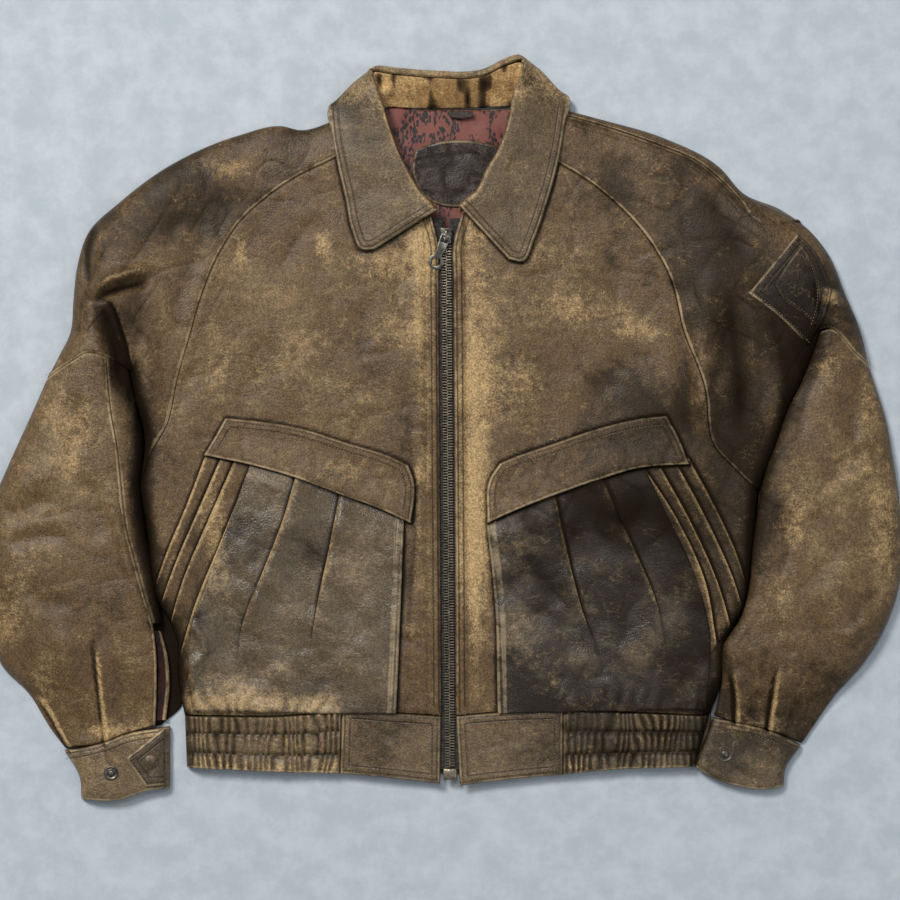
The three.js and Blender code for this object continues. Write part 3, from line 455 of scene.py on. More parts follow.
# The lines of the cut, in plan
cut = {
    "rightRaglan": [(-309, -56), (-295, -19), (-282, 3), (-271, 50), (-259, 92), (-248, 130), (-228, 179),
                    (-209, 208), (-180, 235), (-148, 256), (-114, 272), (-94, 284)],
    "leftRaglan": [(311, -62), (286, -38), (267, -17), (256, 44), (236, 99), (223, 151), (208, 180),
                   (192, 202), (152, 241), (130, 256), (112, 267), (92, 284)],
    "rightSide": [(-264, -286), (-271, -246), (-272, -210), (-294, -163), (-301, -109), (-309, -56)],
    "leftSide": [(262, -286), (276, -246), (279, -213), (296, -180), (306, -119), (311, -62)],
    "rightNeck": [(-16, 212), (-45, 238), (-70, 262), (-90, 281)],
    "leftNeck": [(13, 214), (42, 240), (68, 264), (88, 281)],
    "rightShoulder": [(-112, 311), (-148, 301), (-167, 305), (-209, 296), (-247, 282), (-285, 262),
                      (-329, 229), (-361, 198), (-372, 165), (-376, 130), (-379, 98), (-390, 75), (-402, 52)],
    "leftShoulder": [(114, 322), (152, 312), (219, 292), (271, 265), (297, 237), (334, 221), (366, 197),
                     (382, 176), (399, 135), (413, 102), (422, 65)],
    "leftOverarm": [(112, 317), (152, 306), (215, 284), (248, 270), (271, 252), (290, 232), (309, 206)],
    "rightElbow": [(-318, 58), (-341, 73), (-358, 77), (-375, 69), (-402, 52)],
    "leftElbow": [(371, 98), (383, 100), (391, 94), (404, 79), (422, 65)],
    "rightFold": [(-309, -56), (-304, -7), (-313, 31), (-318, 58)],
    "leftFold": [(311, -62), (326, -25), (342, 21), (357, 50), (374, 95)],
    "rightOuter": [(-402, 52), (-417, 18), (-442, -37), (-456, -70), (-464, -110), (-466, -150), (-460, -205),
                   (-448, -236), (-421, -264), (-397, -302), (-384, -319)],
    "rightInseam": [(-341, 73), (-337, 24), (-330, -15), (-326, -52), (-321, -95), (-312, -130), (-304, -160),
                    (-295, -193), (-291, -223), (-291, -258), (-293, -296)],
    "rightInner": [(-319, 60), (-311, 28), (-303, -17), (-306, -56), (-302, -97), (-296, -128), (-290, -160),
                   (-286, -193)],
    "leftOuter": [(422, 65), (431, 38), (440, 8), (447, -30), (453, -70), (456, -105), (456, -135),
                  (450, -168), (438, -200), (418, -233), (388, -267), (355, -314)],
    "leftInner": [(371, 98), (354, 50), (339, 20), (328, -12), (317, -42), (309, -82), (304, -119),
                  (301, -155), (292, -188), (275, -215), (274, -254), (267, -286)],
    "rightCuffSeam": [(-293, -296), (-322, -304), (-349, -314), (-384, -319)],
    "leftCuffSeam": [(267, -286), (285, -292), (308, -297), (330, -304), (355, -314)],
    "rightWaist": [(-264, -286), (-148, -285), (-106, -280), (-55, -283), (-7, -286)],
    "leftWaist": [(262, -286), (192, -283), (115, -280), (55, -282), (8, -286)],
    "rightHem": [(-262, -338), (-148, -343), (-108, -344), (-50, -349), (-8, -354)],
    "leftHem": [(248, -337), (152, -341), (115, -345), (60, -350), (12, -356)],
    "rightCuffEnd": [(-279, -359), (-299, -361), (-332, -371), (-368, -370)],
    "leftCuffEnd": [(248, -338), (267, -349), (291, -357), (316, -360), (337, -357)],
    "rightCuffInner": [(-279, -297), (-279, -359)],
    "rightCuffOuter": [(-385, -321), (-369, -350), (-368, -370)],
    "leftCuffInner": [(266, -288), (248, -338)],
    "leftCuffOuter": [(354, -316), (338, -341), (337, -357)],
}
line = {name: smooth(points) for name, points in cut.items()}
zipPlan = {"top": 215, "bottom": -350, "edge": 7}
zipRows = [-286, -246, -205, -160, -112, -62, -22, 8, 48, 88, 120, 155, 185]


def zipX(y):
    return 2 - 4 * (y - zipPlan["bottom"]) / (zipPlan["top"] - zipPlan["bottom"])


def join(*lines):  # lines end to end, without the shared points
    return np.vstack([lines[0], *[each[1:] for each in lines[1:]]])


def at(path, t):  # points at fractions of a line, each span counting the same
    place = np.asarray(t) * (len(path) - 1)
    steps = np.arange(len(path))
    return np.stack([np.interp(place, steps, path[:, k]) for k in range(path.shape[1])], -1)


def passed(path):  # the length passed at each point of a line
    return np.r_[0, np.cumsum(np.linalg.norm(np.diff(path, axis=0), axis=1))]


def evenly(first, second, t):  # fractions that lie evenly along two opposite edges
    s = np.linspace(0, 1, 240)
    lengths = passed(at(first, s)) + passed(at(second, s))
    return np.interp(t, lengths / lengths[-1], s)


def pathLength(path):
    return float(np.linalg.norm(np.diff(path, axis=0), axis=1).sum())


def coons(edges, u, v):
    u, v = np.asarray(u)[:, None], np.asarray(v)[:, None]
    start, end, left, right = (edges[key] for key in ("start", "end", "left", "right"))
    ruled = at(left, v[:, 0]) * (1 - u) + at(right, v[:, 0]) * u
    fromStart = at(start, u[:, 0]) - (left[0] * (1 - u) + right[0] * u)
    fromEnd = at(end, u[:, 0]) - (left[-1] * (1 - u) + right[-1] * u)
    return ruled + (1 - v) * fromStart + v * fromEnd


evening = {"columns": 30, "rows": 44, "rounds": 1400, "finishing": 160}


def relax(grid, rounds):  # moves the inner points of a grid so that its cells follow the outline evenly
    grid = grid.copy()
    for _ in range(rounds):
        across = (grid[1:-1, 2:] - grid[1:-1, :-2]) / 2
        along = (grid[2:, 1:-1] - grid[:-2, 1:-1]) / 2
        a = (along**2).sum(-1, keepdims=True)
        b = (across * along).sum(-1, keepdims=True)
        c = (across**2).sum(-1, keepdims=True)
        twist = (grid[2:, 2:] - grid[2:, :-2] - grid[:-2, 2:] + grid[:-2, :-2]) / 4
        sides = a * (grid[1:-1, 2:] + grid[1:-1, :-2]) + c * (grid[2:, 1:-1] + grid[:-2, 1:-1])
        grid[1:-1, 1:-1] = (sides - 2 * b * twist) / (2 * (a + c) + 1e-9)
    return grid


def evenPlan(plan, i, j):  # a panel's points in plan, coarse first and then all, so that no face folds over
    grid = np.zeros((j.max() + 1, i.max() + 1, 2))
    grid[j, i] = plan
    rows, columns = grid.shape[:2]
    keptColumns = np.unique(np.linspace(0, columns - 1, evening["columns"]).round().astype(int))
    keptRows = np.unique(np.linspace(0, rows - 1, evening["rows"]).round().astype(int))
    coarse = relax(grid[np.ix_(keptRows, keptColumns)], evening["rounds"])
    s = np.interp(np.arange(columns), keptColumns, np.arange(len(keptColumns))) / (len(keptColumns) - 1)
    t = np.interp(np.arange(rows), keptRows, np.arange(len(keptRows))) / (len(keptRows) - 1)
    wide = np.stack([at(row, s) for row in coarse])
    full = np.stack([at(wide[:, k], t) for k in range(columns)], 1)
    grid[1:-1, 1:-1] = full[1:-1, 1:-1]
    return relax(grid, evening["finishing"])[j, i]


def nearest(path, x, y):  # distance to a line, the place along it from 0 to 1, and its side: 1 on the left
    best = np.full(x.shape, 1e12)
    place = np.zeros(x.shape)
    side = np.ones(x.shape)
    steps = np.diff(path, axis=0)
    lengths = np.linalg.norm(steps, axis=1)
    before = np.r_[0, np.cumsum(lengths)]
    for (ax, ay), (dx, dy), length, past in zip(path[:-1], steps, lengths, before):
        if length < 1e-9:
            continue
        t = np.clip(((x - ax) * dx + (y - ay) * dy) / length**2, 0, 1)
        px = x - ax - t * dx
        py = y - ay - t * dy
        away = px * px + py * py
        closer = away < best
        best = np.where(closer, away, best)
        place = np.where(closer, (past + t * length) / before[-1], place)
        side = np.where(closer, np.where(dx * py - dy * px >= 0, 1.0, -1.0), side)
    return np.sqrt(best), place, side


def thinned(path):  # half the points of a long line, for finding distances
    return path[::2] if len(path) > 30 else path


def distanceTo(paths, x, y):
    return np.min([nearest(thinned(path), x, y)[0] for path in paths], axis=0)


drape = {
    "rimTop": 3.9, "bodyRise": 13, "sleeveRise": 27, "endRise": 10, "gap": 0.45, "rimShade": 10,
    "sleeveStart": 190, "sleeveSpan": 160,  # where the lie starts to rise to a sleeve's, and over how far
    "endStart": -215, "endSpan": 90,  # where it starts to come down towards the band, and over how far
    "swells": ((95, 3, 1.6), (48, 5, 0.9), (24, 8, 0.4)),  # size, seed and height of the soft bumps
    "crumples": ((58, 11, 1.1), (31, 12, 0.7)),  # size, seed and depth of the sharper hollows
    "zipCalm": 30,  # the bumps die away this near to the zip
}


def ease(t):
    s = np.clip(t, 0, 1)
    return s * s * (3 - 2 * s)


def wander(x, y, size, seed):  # smooth random height from -1 to 1, its bumps of about that size
    cells = 61
    table = np.random.RandomState(seed).uniform(-1, 1, (cells, cells))
    turn = seed * 0.7
    gx = (x * math.cos(turn) - y * math.sin(turn)) / size + 300
    gy = (x * math.sin(turn) + y * math.cos(turn)) / size + 300
    i, j = np.floor(gx).astype(int), np.floor(gy).astype(int)
    fx, fy = gx - i, gy - j
    fx, fy = fx**3 * (fx * (fx * 6 - 15) + 10), fy**3 * (fy * (fy * 6 - 15) + 10)
    i, j, nextI, nextJ = i % cells, j % cells, (i + 1) % cells, (j + 1) % cells
    low = table[i, j] * (1 - fx) + table[nextI, j] * fx
    high = table[i, nextJ] * (1 - fx) + table[nextI, nextJ] * fx
    return low * (1 - fy) + high * fy


# Creases, given one by one: their points, how deep (a ridge is negative) and how wide on each side.
# A step is higher on its left side and falls away there over its width.
valleys = [
    ([(-351, 210), (-361, 172), (-357, 138)], 8, 7),
    ([(-358, 124), (-338, 136), (-316, 143), (-292, 146)], 8, 5),
    ([(-350, 134), (-338, 102), (-328, 70), (-326, 34)], 12, 10),
    ([(-448, -88), (-420, -78), (-393, -63)], 5, 9),
    ([(-448, -115), (-410, -107), (-371, -104)], 3, 8), ([(-328, -222), (-326, -262), (-322, -300)], 3, 8),
    ([(-285, -12), (-270, 30), (-256, 74)], 3, 12), ([(-290, 195), (-262, 210), (-232, 206)], 2.4, 12),
    ([(-236, 226), (-252, 180), (-268, 128), (-282, 84)], 2.6, 13),
    ([(-385, 40), (-372, 8), (-378, -28)], 4, 12),
    ([(-366, -40), (-352, -70), (-348, -120)], 3, 11), ([(-430, -150), (-398, -172), (-368, -170)], 3.4, 10),
    ([(215, 119), (232, 92), (236, 53), (236, 15), (244, -13), (250, -33)], 5, 10),
    ([(280, 150), (284, 90), (292, 30), (288, -10)], 7, 10), ([(252, 240), (276, 204), (297, 160)], 3, 12),
    ([(318, 120), (330, 84), (334, 50)], 4, 9), ([(262, 36), (274, 74), (270, 120)], 3, 10),
    ([(333, -213), (346, -225)], 3, 5), ([(382, 88), (356, 34), (344, -14)], 4, 10),
    ([(412, 52), (404, 14), (402, -26)], 3.4, 10), ([(436, -10), (404, -30), (372, -52)], 3, 9),
    ([(434, -158), (414, -176), (398, -194)], 4, 9), ([(326, -70), (338, -110), (334, -150)], 3, 9),
    ([(352, -180), (376, -204), (386, -236)], 3, 9), ([(73, -123), (96, -152), (118, -178)], 3, 7),
    ([(-120, 215), (-150, 190), (-176, 150)], 2.2, 12), ([(-66, 150), (-84, 110), (-90, 66)], 1.8, 12),
    ([(70, 170), (96, 140), (108, 96)], 1.8, 12), ([(150, 206), (166, 170), (172, 124)], 2.2, 12),
    ([(-196, 24), (-180, 60), (-184, 104)], 1.8, 12), ([(140, 26), (164, 52), (176, 86)], 1.8, 11),
    ([(310, -256), (306, -276), (304, -294)], 2.4, 6), ([(352, -262), (344, -286), (340, -304)], 2.4, 6),
    ([(-372, -262), (-368, -290), (-364, -314)], 2.6, 6), ([(364, 152), (368, 132), (373, 112)], 5, 4),
]
ridges = [
    ([(-340, 208), (-353, 177), (-358, 169)], 5, 9),
    ([(-360, 132), (-342, 147), (-318, 156), (-288, 160)], 9, 6.5),
    ([(-262, -192), (-246, -204), (-242, -220), (-256, -238), (-250, -258)], 3, 5),
    ([(424, -183), (408, -198), (393, -215)], 5, 9), ([(297, 132), (302, 96), (304, 56)], 3, 9),
    ([(-438, -60), (-410, -48), (-386, -36)], 3, 11), ([(264, 172), (254, 97), (256, 30), (264, -20)], 6, 13),
    ([(-300, 104), (-296, 60), (-292, 20)], 3, 9), ([(-386, -190), (-380, -230), (-376, -262)], 3, 9),
    ([(404, -120), (388, -150), (366, -176)], 3, 11), ([(422, 20), (414, -20), (418, -60)], 2.5, 10),
    ([(372, 141), (384, 133), (391, 119)], 6, 4), ([(374, 126), (383, 131), (391, 140)], 5, 3.5),
    ([(-344, -40), (-330, -90), (-316, -140), (-304, -180), (-301, -215)], 3, 6),
]
steps = [
    ([(-354, 134), (-338, 130), (-325, 103), (-316, 67), (-315, 33)], 8, 26, 0.15),
    ([(-353, -198), (-348, -256), (-343, -312)], 5, 16, 1.1),
    ([(-414, -262), (-399, -284), (-389, -303), (-379, -320)], 3.5, 12, 1.3),
    ([(282, -236), (287, -262), (288, -290)], 5, 14, 0.6),
    ([(330, -232), (326, -259), (321, -298)], 5, 15, 1.0),
    ([(-46, 44), (-33, -33), (-31, -92), (-37, -190), (-37, -270)], 1.4, 12, 0.15),
]


# How much painted shade and how much rubbing each kind of crease gets, for a millimetre of its depth
creaseTone = {"valleyPaintedShade": 0.05, "valleyWear": 0.012, "ridgeWear": 0.035, "stepPaintedShade": 0.14,
              "stepPaintedShadeCap": 0.8}


def taper(place, ends=0.3):
    return ease(place / ends) * ease((1 - place) / ends)


def bell(t):
    return np.exp(-(t**2))


def valleyForm(away, place, side, depth, half, rubbed):
    ends = taper(place)
    # painted shade along the valley's floor
    dark = creaseTone["valleyPaintedShade"] * depth * ends * bell(away / (half * 0.55))
    wear = creaseTone["valleyWear"] * depth * ends * bell((away - half * 1.3) / (half * 0.5))
    return -depth * ends * bell(away / half), dark, wear


def ridgeForm(away, place, side, depth, half, rubbed):
    tall = depth * taper(place)
    return tall * bell(away / half), 0, creaseTone["ridgeWear"] * tall * bell(away / (half * 0.5))


def stepForm(away, place, side, depth, half, rubbed):
    ends = ease(place / 0.35) if depth > 2 else taper(place)
    past = away * side
    over = 0.5 * (1 + np.tanh(past / 1.6)) * bell(np.maximum(past, 0) / half)
    under = bell((past + half * 0.45) / (half * 0.5))
    # painted shadow just below the step's edge
    dark = min(creaseTone["stepPaintedShade"] * depth, creaseTone["stepPaintedShadeCap"]) * ends * bell((past + 2.4) / 2.2)
    return depth * ends * (over - 0.35 * under), dark, rubbed[0] * ends * bell((past - 1.6) / 2.2)


def relief(x, y):  # what the creases add to the height, the painted shade in their hollows and under their steps, and how rubbed they leave them
    z = np.zeros(x.shape)
    dark = np.zeros(x.shape)
    wear = np.zeros(x.shape)
    for form, creases in ((valleyForm, valleys), (ridgeForm, ridges), (stepForm, steps)):
        for points, depth, half, *rubbed in creases:
            path = smooth(points, 5)
            reach = 3 * half
            low, high = path.min(0) - reach, path.max(0) + reach
            near = (x > low[0]) & (x < high[0]) & (y > low[1]) & (y < high[1])
            if near.any():
                made = form(*nearest(path, x[near], y[near]), depth, half, rubbed)
                z[near] += made[0]
                dark[near] += made[1]
                wear[near] += made[2]
    return z, dark, wear


# Where the finish has rubbed through, and where it is darker: a place, its reach and how much
rubbedPatches = [
    (26, -105, 13, 100, 1.1), (-377, -5, 30, 50, 0.38), (-420, -130, 30, 60, 0.22), (437, -100, 18, 46, 0.62),
    (404, -40, 34, 34, 0.28), (-233, -100, 14, 44, 0.9), (-103, -42, 34, 16, 0.4), (-206, 178, 9, 18, 0.6),
    (62, 48, 44, 36, 0.42), (-26, 185, 20, 44, 0.75), (26, 80, 18, 130, 0.6), (-24, -20, 12, 200, 0.35),
    (-124, 184, 8, 22, 0.5), (-300, 164, 30, 8, 0.25), (192, 100, 24, 12, 0.5), (-118, 96, 52, 22, 0.2),
    (-62, 168, 44, 24, 0.45), (-328, -302, 46, 10, 0.7), (312, -296, 40, 10, 0.6), (100, 180, 60, 50, 0.25),
    (-180, 60, 46, 30, 0.25), (140, 120, 60, 24, 0.35), (-340, 225, 30, 20, 0.2), (-222, 262, 40, 12, 0.35),
    (120, -262, 60, 12, 0.35), (-200, -262, 70, 16, 0.5), (380, 60, 24, 20, 0.4), (-400, -250, 20, 30, 0.35),
    (330, -170, 24, 30, 0.3), (-86, 40, 30, 18, 0.3), (246, -150, 14, 40, 0.35), (420, 30, 12, 40, 0.35),
    (70, -120, 20, 50, 0.3), (345, -90, 20, 50, 0.3), (-440, -190, 16, 40, 0.3),
    (-230, 60, 16, 30, 0.35), (-50, 100, 30, 30, 0.3), (382, 133, 9, 10, 0.7),
]
# Most dark places are a darker finish; those in the sleeve recesses and in the gaps beside folded edges are painted
# shade
darkPatches = [
    (-250, 235, 90, 50, 0.26), (-310, 190, 50, 44, 0.24), (-100, 70, 50, 40, 0.2), (220, 235, 90, 46, 0.26),
    (290, 190, 50, 50, 0.26), (270, 120, 40, 60, 0.26), (-320, 110, 26, 36, 0.5), (-330, 60, 14, 30, 0.5),
    (300, 20, 30, 80, 0.4), (190, 30, 46, 34, 0.2), (350, 120, 44, 44, 0.55), (356, 78, 14, 26, 0.7),
    (338, 44, 9, 40, 0.6), (-345, -180, 40, 60, 0.15), (380, -220, 40, 50, 0.25), (-300, -10, 20, 60, 0.3),
    (-310, -90, 16, 60, 0.2), (320, -100, 18, 60, 0.25), (190, -60, 120, 80, 0.45), (262, -130, 44, 120, 0.35),
    (190, -312, 150, 50, 0.36), (330, -300, 60, 60, 0.3), (250, 20, 60, 40, 0.2), (-44, 20, 20, 60, 0.2),
    (-36, -140, 14, 80, 0.2), (160, -80, 60, 14, 0.15), (-64, -300, 30, 30, 0.2),
]


def patches(table, x, y):
    total = np.zeros(x.shape)
    for px, py, reachX, reachY, amount in table:
        total += amount * bell((x - px) / reachX) * bell((y - py) / reachY)
    return total


# Folded edges: the line, how far in the cloth is still coming down, how high the edge stays (0 is on the
# floor) and how much painted shade it gets. The left sleeve lies on the body, and the body on the right sleeve.
line["rightBandEnd"] = smooth([(-264, -286), (-262, -338)])
line["leftBandEnd"] = smooth([(262, -286), (248, -337)])
line["rightBelowWrap"] = smooth([(-286, -193), (-270, -200), (-262, -216), (-260, -246), (-260, -276),
                                 (-280, -296)])
bodyRolls = [("rightShoulder", 48, 0, 0.1), ("leftShoulder", 40, 0, 0.1), ("rightFold", 18, 0.2, 0.9),
             ("leftFold", 24, 0.3, 0.7), ("rightSide", 22, 0.12, 0.9), ("leftSide", 20, 0.3, 0.9)]
rightSleeveRolls = [("rightOuter", 55, 0, 0.1), ("rightShoulder", 48, 0, 0.1), ("rightInner", 26, 0, 0.9),
                    ("rightBelowWrap", 16, 0, 0)]
leftSleeveRolls = [("leftOuter", 55, 0, 0.1), ("leftShoulder", 40, 0, 0.1), ("leftInner", 13, 0.6, 0.2)]
bandRolls = [("rightBandEnd", 14, 0.1, 0.4), ("leftBandEnd", 12, 0.2, 0.4)]
cuffRolls = [("rightCuffInner", 14, 0.1, 0), ("rightCuffOuter", 16, 0, 0), ("leftCuffInner", 8, 0.6, 0),
             ("leftCuffOuter", 16, 0, 0)]


def lie(rolls):  # the cloth's outer face, with these edges folded down to the floor
    edges = [(line[name][::2], width, stays, shade) for name, width, stays, shade in rolls]

    def height(x, y):
        roll = np.ones(x.shape)
        shaded = np.zeros(x.shape)
        for path, width, stays, shade in edges:
            away = nearest(path, x, y)[0]
            inward = np.clip(away - drape["gap"], 0, width) / width
            roll = np.minimum(roll, stays + (1 - stays) * np.sqrt(1 - (1 - inward) ** 2))
            # painted shade along each folded edge, where it drops into the gap beside the next piece
            shaded = np.maximum(shaded, shade * bell(away / drape["rimShade"]))
        outwards = ease((np.abs(x) - drape["sleeveStart"]) / drape["sleeveSpan"])
        rise = drape["bodyRise"] * (1 - outwards) + drape["sleeveRise"] * outwards
        down = ease((drape["endStart"] - y) / drape["endSpan"])
        rise = rise * (1 - down) + drape["endRise"] * down
        folds, dark, wear = relief(x, y)
        bumps = sum(tall * wander(x, y, size, seed) for size, seed, tall in drape["swells"])
        for size, seed, deep in drape["crumples"]:
            sharp = 1 - np.abs(wander(x, y, size, seed))
            bumps = bumps - deep * sharp**7
        calm = ease(np.abs(x - zipX(y)) / drape["zipCalm"] - 0.2)
        z = drape["rimTop"] + roll * (rise + folds + bumps * calm)
        # painted shade: the creases, the folded edges and the crumples' hollows darken the colour
        dark = dark + shaded + 0.12 * sharp**12
        return np.maximum(z, drape["rimTop"]), dark, wear

    return height


def unitGrid(columns, rows):
    bm = bmesh.new()
    bmesh.ops.create_grid(bm, x_segments=columns, y_segments=rows, size=0.5)
    mesh = bpy.data.meshes.new("cloth")
    bm.to_mesh(mesh)
    bm.free()
    co = np.empty(len(mesh.vertices) * 3)
    mesh.vertices.foreach_get("co", co)
    co = co.reshape(-1, 3)
    return mesh, co[:, 0] + 0.5, co[:, 1] + 0.5


def finishCloth(name, mesh, points, wall, values, material, upwards=True):
    mesh.vertices.foreach_set("co", (points * mm).ravel())
    mesh.update()
    facing = np.empty(len(mesh.polygons) * 3)
    mesh.polygons.foreach_get("normal", facing)
    if (facing.reshape(-1, 3)[:, 2].sum() < 0) == upwards:
        mesh.flip_normals()
    mesh.shade_smooth()
    for key, value in values.items():
        stored = mesh.attributes.new(key, "FLOAT", "POINT")
        stored.data.foreach_set("value", value.astype(np.float32))
    mesh.materials.append(materials[material])
    mesh.name = name
    piece = link(bpy.data.objects.new(name, mesh))
    if wall:
        thick = piece.modifiers.new("wall", "SOLIDIFY")
        thick.thickness = wall * mm
        thick.offset = -1
    return piece


def settle(piece, replaced=(), body="jacket"):
    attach(piece, body)
    if replaced:
        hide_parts(*replaced)
    return piece


def crowd(t, amount=0.4):  # closer rows at both ends
    return t - amount * np.sin(2 * math.pi * t) / (2 * math.pi)


# A seam is its line, how rubbed its piping is, 1 where two rows of stitches run beside it, and perhaps the
# fraction of its length over which it fades out at its end.


def seamFields(seams, x, y):  # distance to the nearest seam, and that seam's piping and rows
    away, piping, rows = np.full(x.shape, 60.0), np.zeros(x.shape), np.zeros(x.shape)
    for path, rubbed, stitched, *fade in seams:
        here, place, _ = nearest(thinned(path), x, y)
        if fade:
            here = here + 50 * ease((place - 1 + fade[0]) / fade[0])
        closer = here < away
        away = np.where(closer, here, away)
        piping = np.where(closer, rubbed, piping)
        rows = np.where(closer, stitched, rows)
    return away, piping, rows


def seamProfile(away, rows=1.0):  # a soft welt beside the seam, and the dip into it
    return (0.35 + 0.5 * rows) * bell((away - 5.5) / 4.5) - 1.5 * bell(away / 1.4)


def gridPlan(edges, spacing, crowding, bent):  # a panel's grid in plan; bent is for hollow corners
    across = max(pathLength(edges["start"]), pathLength(edges["end"]))
    along = max(pathLength(edges["left"]), pathLength(edges["right"]))
    columns, rows = max(4, round(across / spacing)), max(4, round(along / spacing))
    mesh, u, v = unitGrid(columns, rows)
    i, j = np.round(u * columns).astype(int), np.round(v * rows).astype(int)
    u = evenly(edges["start"], edges["end"], crowd(u, crowding))
    v = evenly(edges["left"], edges["right"], crowd(v, crowding))
    plan = coons(edges, u, v)
    if bent:
        plan = evenPlan(plan, i, j)
    return mesh, plan, u, v, across, along


def layPanel(name, edges, height, seams, material, slot, replaced=(), spacing=2.4, wall=1.6, lift=0.0,
             shape=None, crowding=0.4, welt=1.0, restsOn=(), covers=(), bent=False):
    mesh, plan, u, v, across, along = gridPlan(edges, spacing, crowding, bent)
    x, y = plan[:, 0], plan[:, 1]
    z, dark, wear = height(x, y)
    seam, piping, rows = seamFields(seams, x, y)
    z = z + lift + welt * seamProfile(seam, rows)
    if shape is not None:
        shaped = shape(x, y, u, v)
        z, dark, wear = z + shaped[0], dark + shaped[1], wear + shaped[2]
    wear = wear + patches(rubbedPatches, x, y)
    # darker finish patches, some painted shade in recesses, and painted shadows under the covering edges
    dark = dark + patches(darkPatches, x, y) + paintedContactShadow(covers, x, y)
    values = {"seam": seam, "piping": piping, "rows": rows, "dark": dark, "wear": wear}
    piece = finishCloth(name, mesh, np.stack([x, y, z], -1), wall, values, material)
    settle(piece, replaced)
    planArea(edges) * 1.1
    return piece


def paintedContactShadow(covers, x, y):  # painted shadow: a dark line where another piece's edge lies on this one
    shade = np.zeros(x.shape)
    for path in covers:
        shade = np.maximum(shade, 0.75 * bell(nearest(path, x, y)[0] / 2.6))
    return shade


def ringArea(ring):
    x, y = ring[:, 0], ring[:, 1]
    return abs(float((x * np.roll(y, -1) - y * np.roll(x, -1)).sum())) / 2


def planArea(edges):
    return ringArea(np.vstack([edges["start"], edges["right"], edges["end"][::-1], edges["left"][::-1]]))


underside = {
    "crowding": 0.75, "curl": 7, "rise": 2.1, "wall": 1.7,
    "creases": ((60, 21, 0.25, 1.0), (26, 22, 0.45, 0.8)),  # size, seed, where they start, how tall
    "shadeReach": 34, "shade": 2.2,
}


def layUnder(name, edges, material, slot, replaced=(), spacing=6, shaded=None, bent=False):
    # A panel lying on the floor, its edges curling up a little; shaded is a line in whose shadow it lies, painted
    # there as a dark band
    mesh, plan, u, v, across, along = gridPlan(edges, spacing, underside["crowding"], bent)
    x, y = plan[:, 0], plan[:, 1]
    seam = distanceTo([edges[key] for key in ("start", "end", "left", "right")], x, y)
    creased = sum(tall * np.maximum(wander(x, y, size, seed) - start, 0)
                  for size, seed, start, tall in underside["creases"])
    curl = 1 - np.sqrt(1 - (1 - np.clip(seam / underside["curl"], 0, 1)) ** 2)
    z = creased * ease(seam / 25) + underside["rise"] * curl
    dark = 0.25 * ease(creased)
    wear = 0.35 * np.maximum(wander(x, y, 90, 23), 0) + 0.35 * bell(seam / 8)
    if shaded is not None:
        dark = np.maximum(dark, underside["shade"] * bell(nearest(shaded, x, y)[0] / underside["shadeReach"]))
        wear = np.zeros(x.shape)
    values = {"seam": seam, "piping": np.full(x.shape, 0.4), "rows": np.zeros(x.shape), "dark": dark,
              "wear": wear}
    points = np.stack([x, y, z], -1)
    piece = finishCloth(name, mesh, points, underside["wall"], values, material, upwards=False)
    settle(piece, replaced)
    planArea(edges) * 1.03
    return piece


stitchSize = {"pitch": 3.1, "half": 1.15, "thick": 0.34, "flatness": 0.8}


def taken(bm):  # the points and faces of a small shape that is set down many times
    points = np.array([vert.co[:] for vert in bm.verts])
    faces = [[vert.index for vert in face.verts] for face in bm.faces]
    bm.free()
    return points, faces


def stitch(name, rows, height, material="thread", lift=0.15):
    # Each row is a line, and how far to its left the thread runs
    bm = bmesh.new()
    bmesh.ops.create_icosphere(bm, subdivisions=1, radius=1)
    template, faces = taken(bm)
    places, headings = [], []
    for path, offset in rows:
        steps = np.gradient(path, axis=0)
        steps /= np.linalg.norm(steps, axis=1)[:, None] + 1e-9
        moved = path + offset * np.stack([-steps[:, 1], steps[:, 0]], -1)
        lengths = passed(moved)
        count = max(2, int(lengths[-1] / stitchSize["pitch"]))
        s = (np.arange(count) + 0.5) * lengths[-1] / count
        for k in range(2):
            places.append(np.interp(s, lengths, moved[:, k]))
            headings.append(np.interp(s, lengths, steps[:, k]))
    x, y = np.concatenate(places[0::2]), np.concatenate(places[1::2])
    dx, dy = np.concatenate(headings[0::2]), np.concatenate(headings[1::2])
    norm = np.hypot(dx, dy) + 1e-9
    dx, dy = dx / norm, dy / norm
    ahead, behind = height(x + dx, y + dy), height(x - dx, y - dy)
    slope = np.clip((ahead - behind) / 2, -1.5, 1.5)
    z = (ahead + behind) / 2 + lift
    a = template[None, :, 0] * stitchSize["half"]
    b = template[None, :, 1] * stitchSize["thick"]
    c = template[None, :, 2] * stitchSize["thick"] * stitchSize["flatness"]
    firsts = (np.arange(len(x)) * len(template))[:, None, None]
    x, y, z, dx, dy, slope = (part[:, None] for part in (x, y, z, dx, dy, slope))
    points = np.stack([x + a * dx - b * dy, y + a * dy + b * dx, z + a * slope + c], -1).reshape(-1, 3)
    allFaces = (np.array(faces)[None] + firsts).reshape(-1, 3)
    mesh = bpy.data.meshes.new(name)
    mesh.from_pydata((points * mm).tolist(), [], allFaces.tolist())
    mesh.shade_smooth()
    mesh.materials.append(materials[material])
    piece = link(bpy.data.objects.new(name, mesh))
    return settle(piece)


def seamed(height, seams, lift=0.0, welt=1.0):  # the face of a panel as laid, for what is sewn on it
    def face(x, y):
        away, _, rows = seamFields(seams, x, y)
        return height(x, y)[0] + lift + welt * seamProfile(away, rows)

    return face


bodyLie = lie(bodyRolls)


def bodyHeight(x, y):  # of the body's outer face at one place
    return float(bodyLie(np.array([x]), np.array([y]))[0][0])


def outlined(start, end, left, right):  # a panel's four edges, from their points
    return {"start": segment(*start), "end": segment(*end), "left": segment(*left), "right": segment(*right)}


def zipLine(side, neck):
    return segment(*[(zipX(y) + side * zipPlan["edge"], y) for y in zipRows], neck)


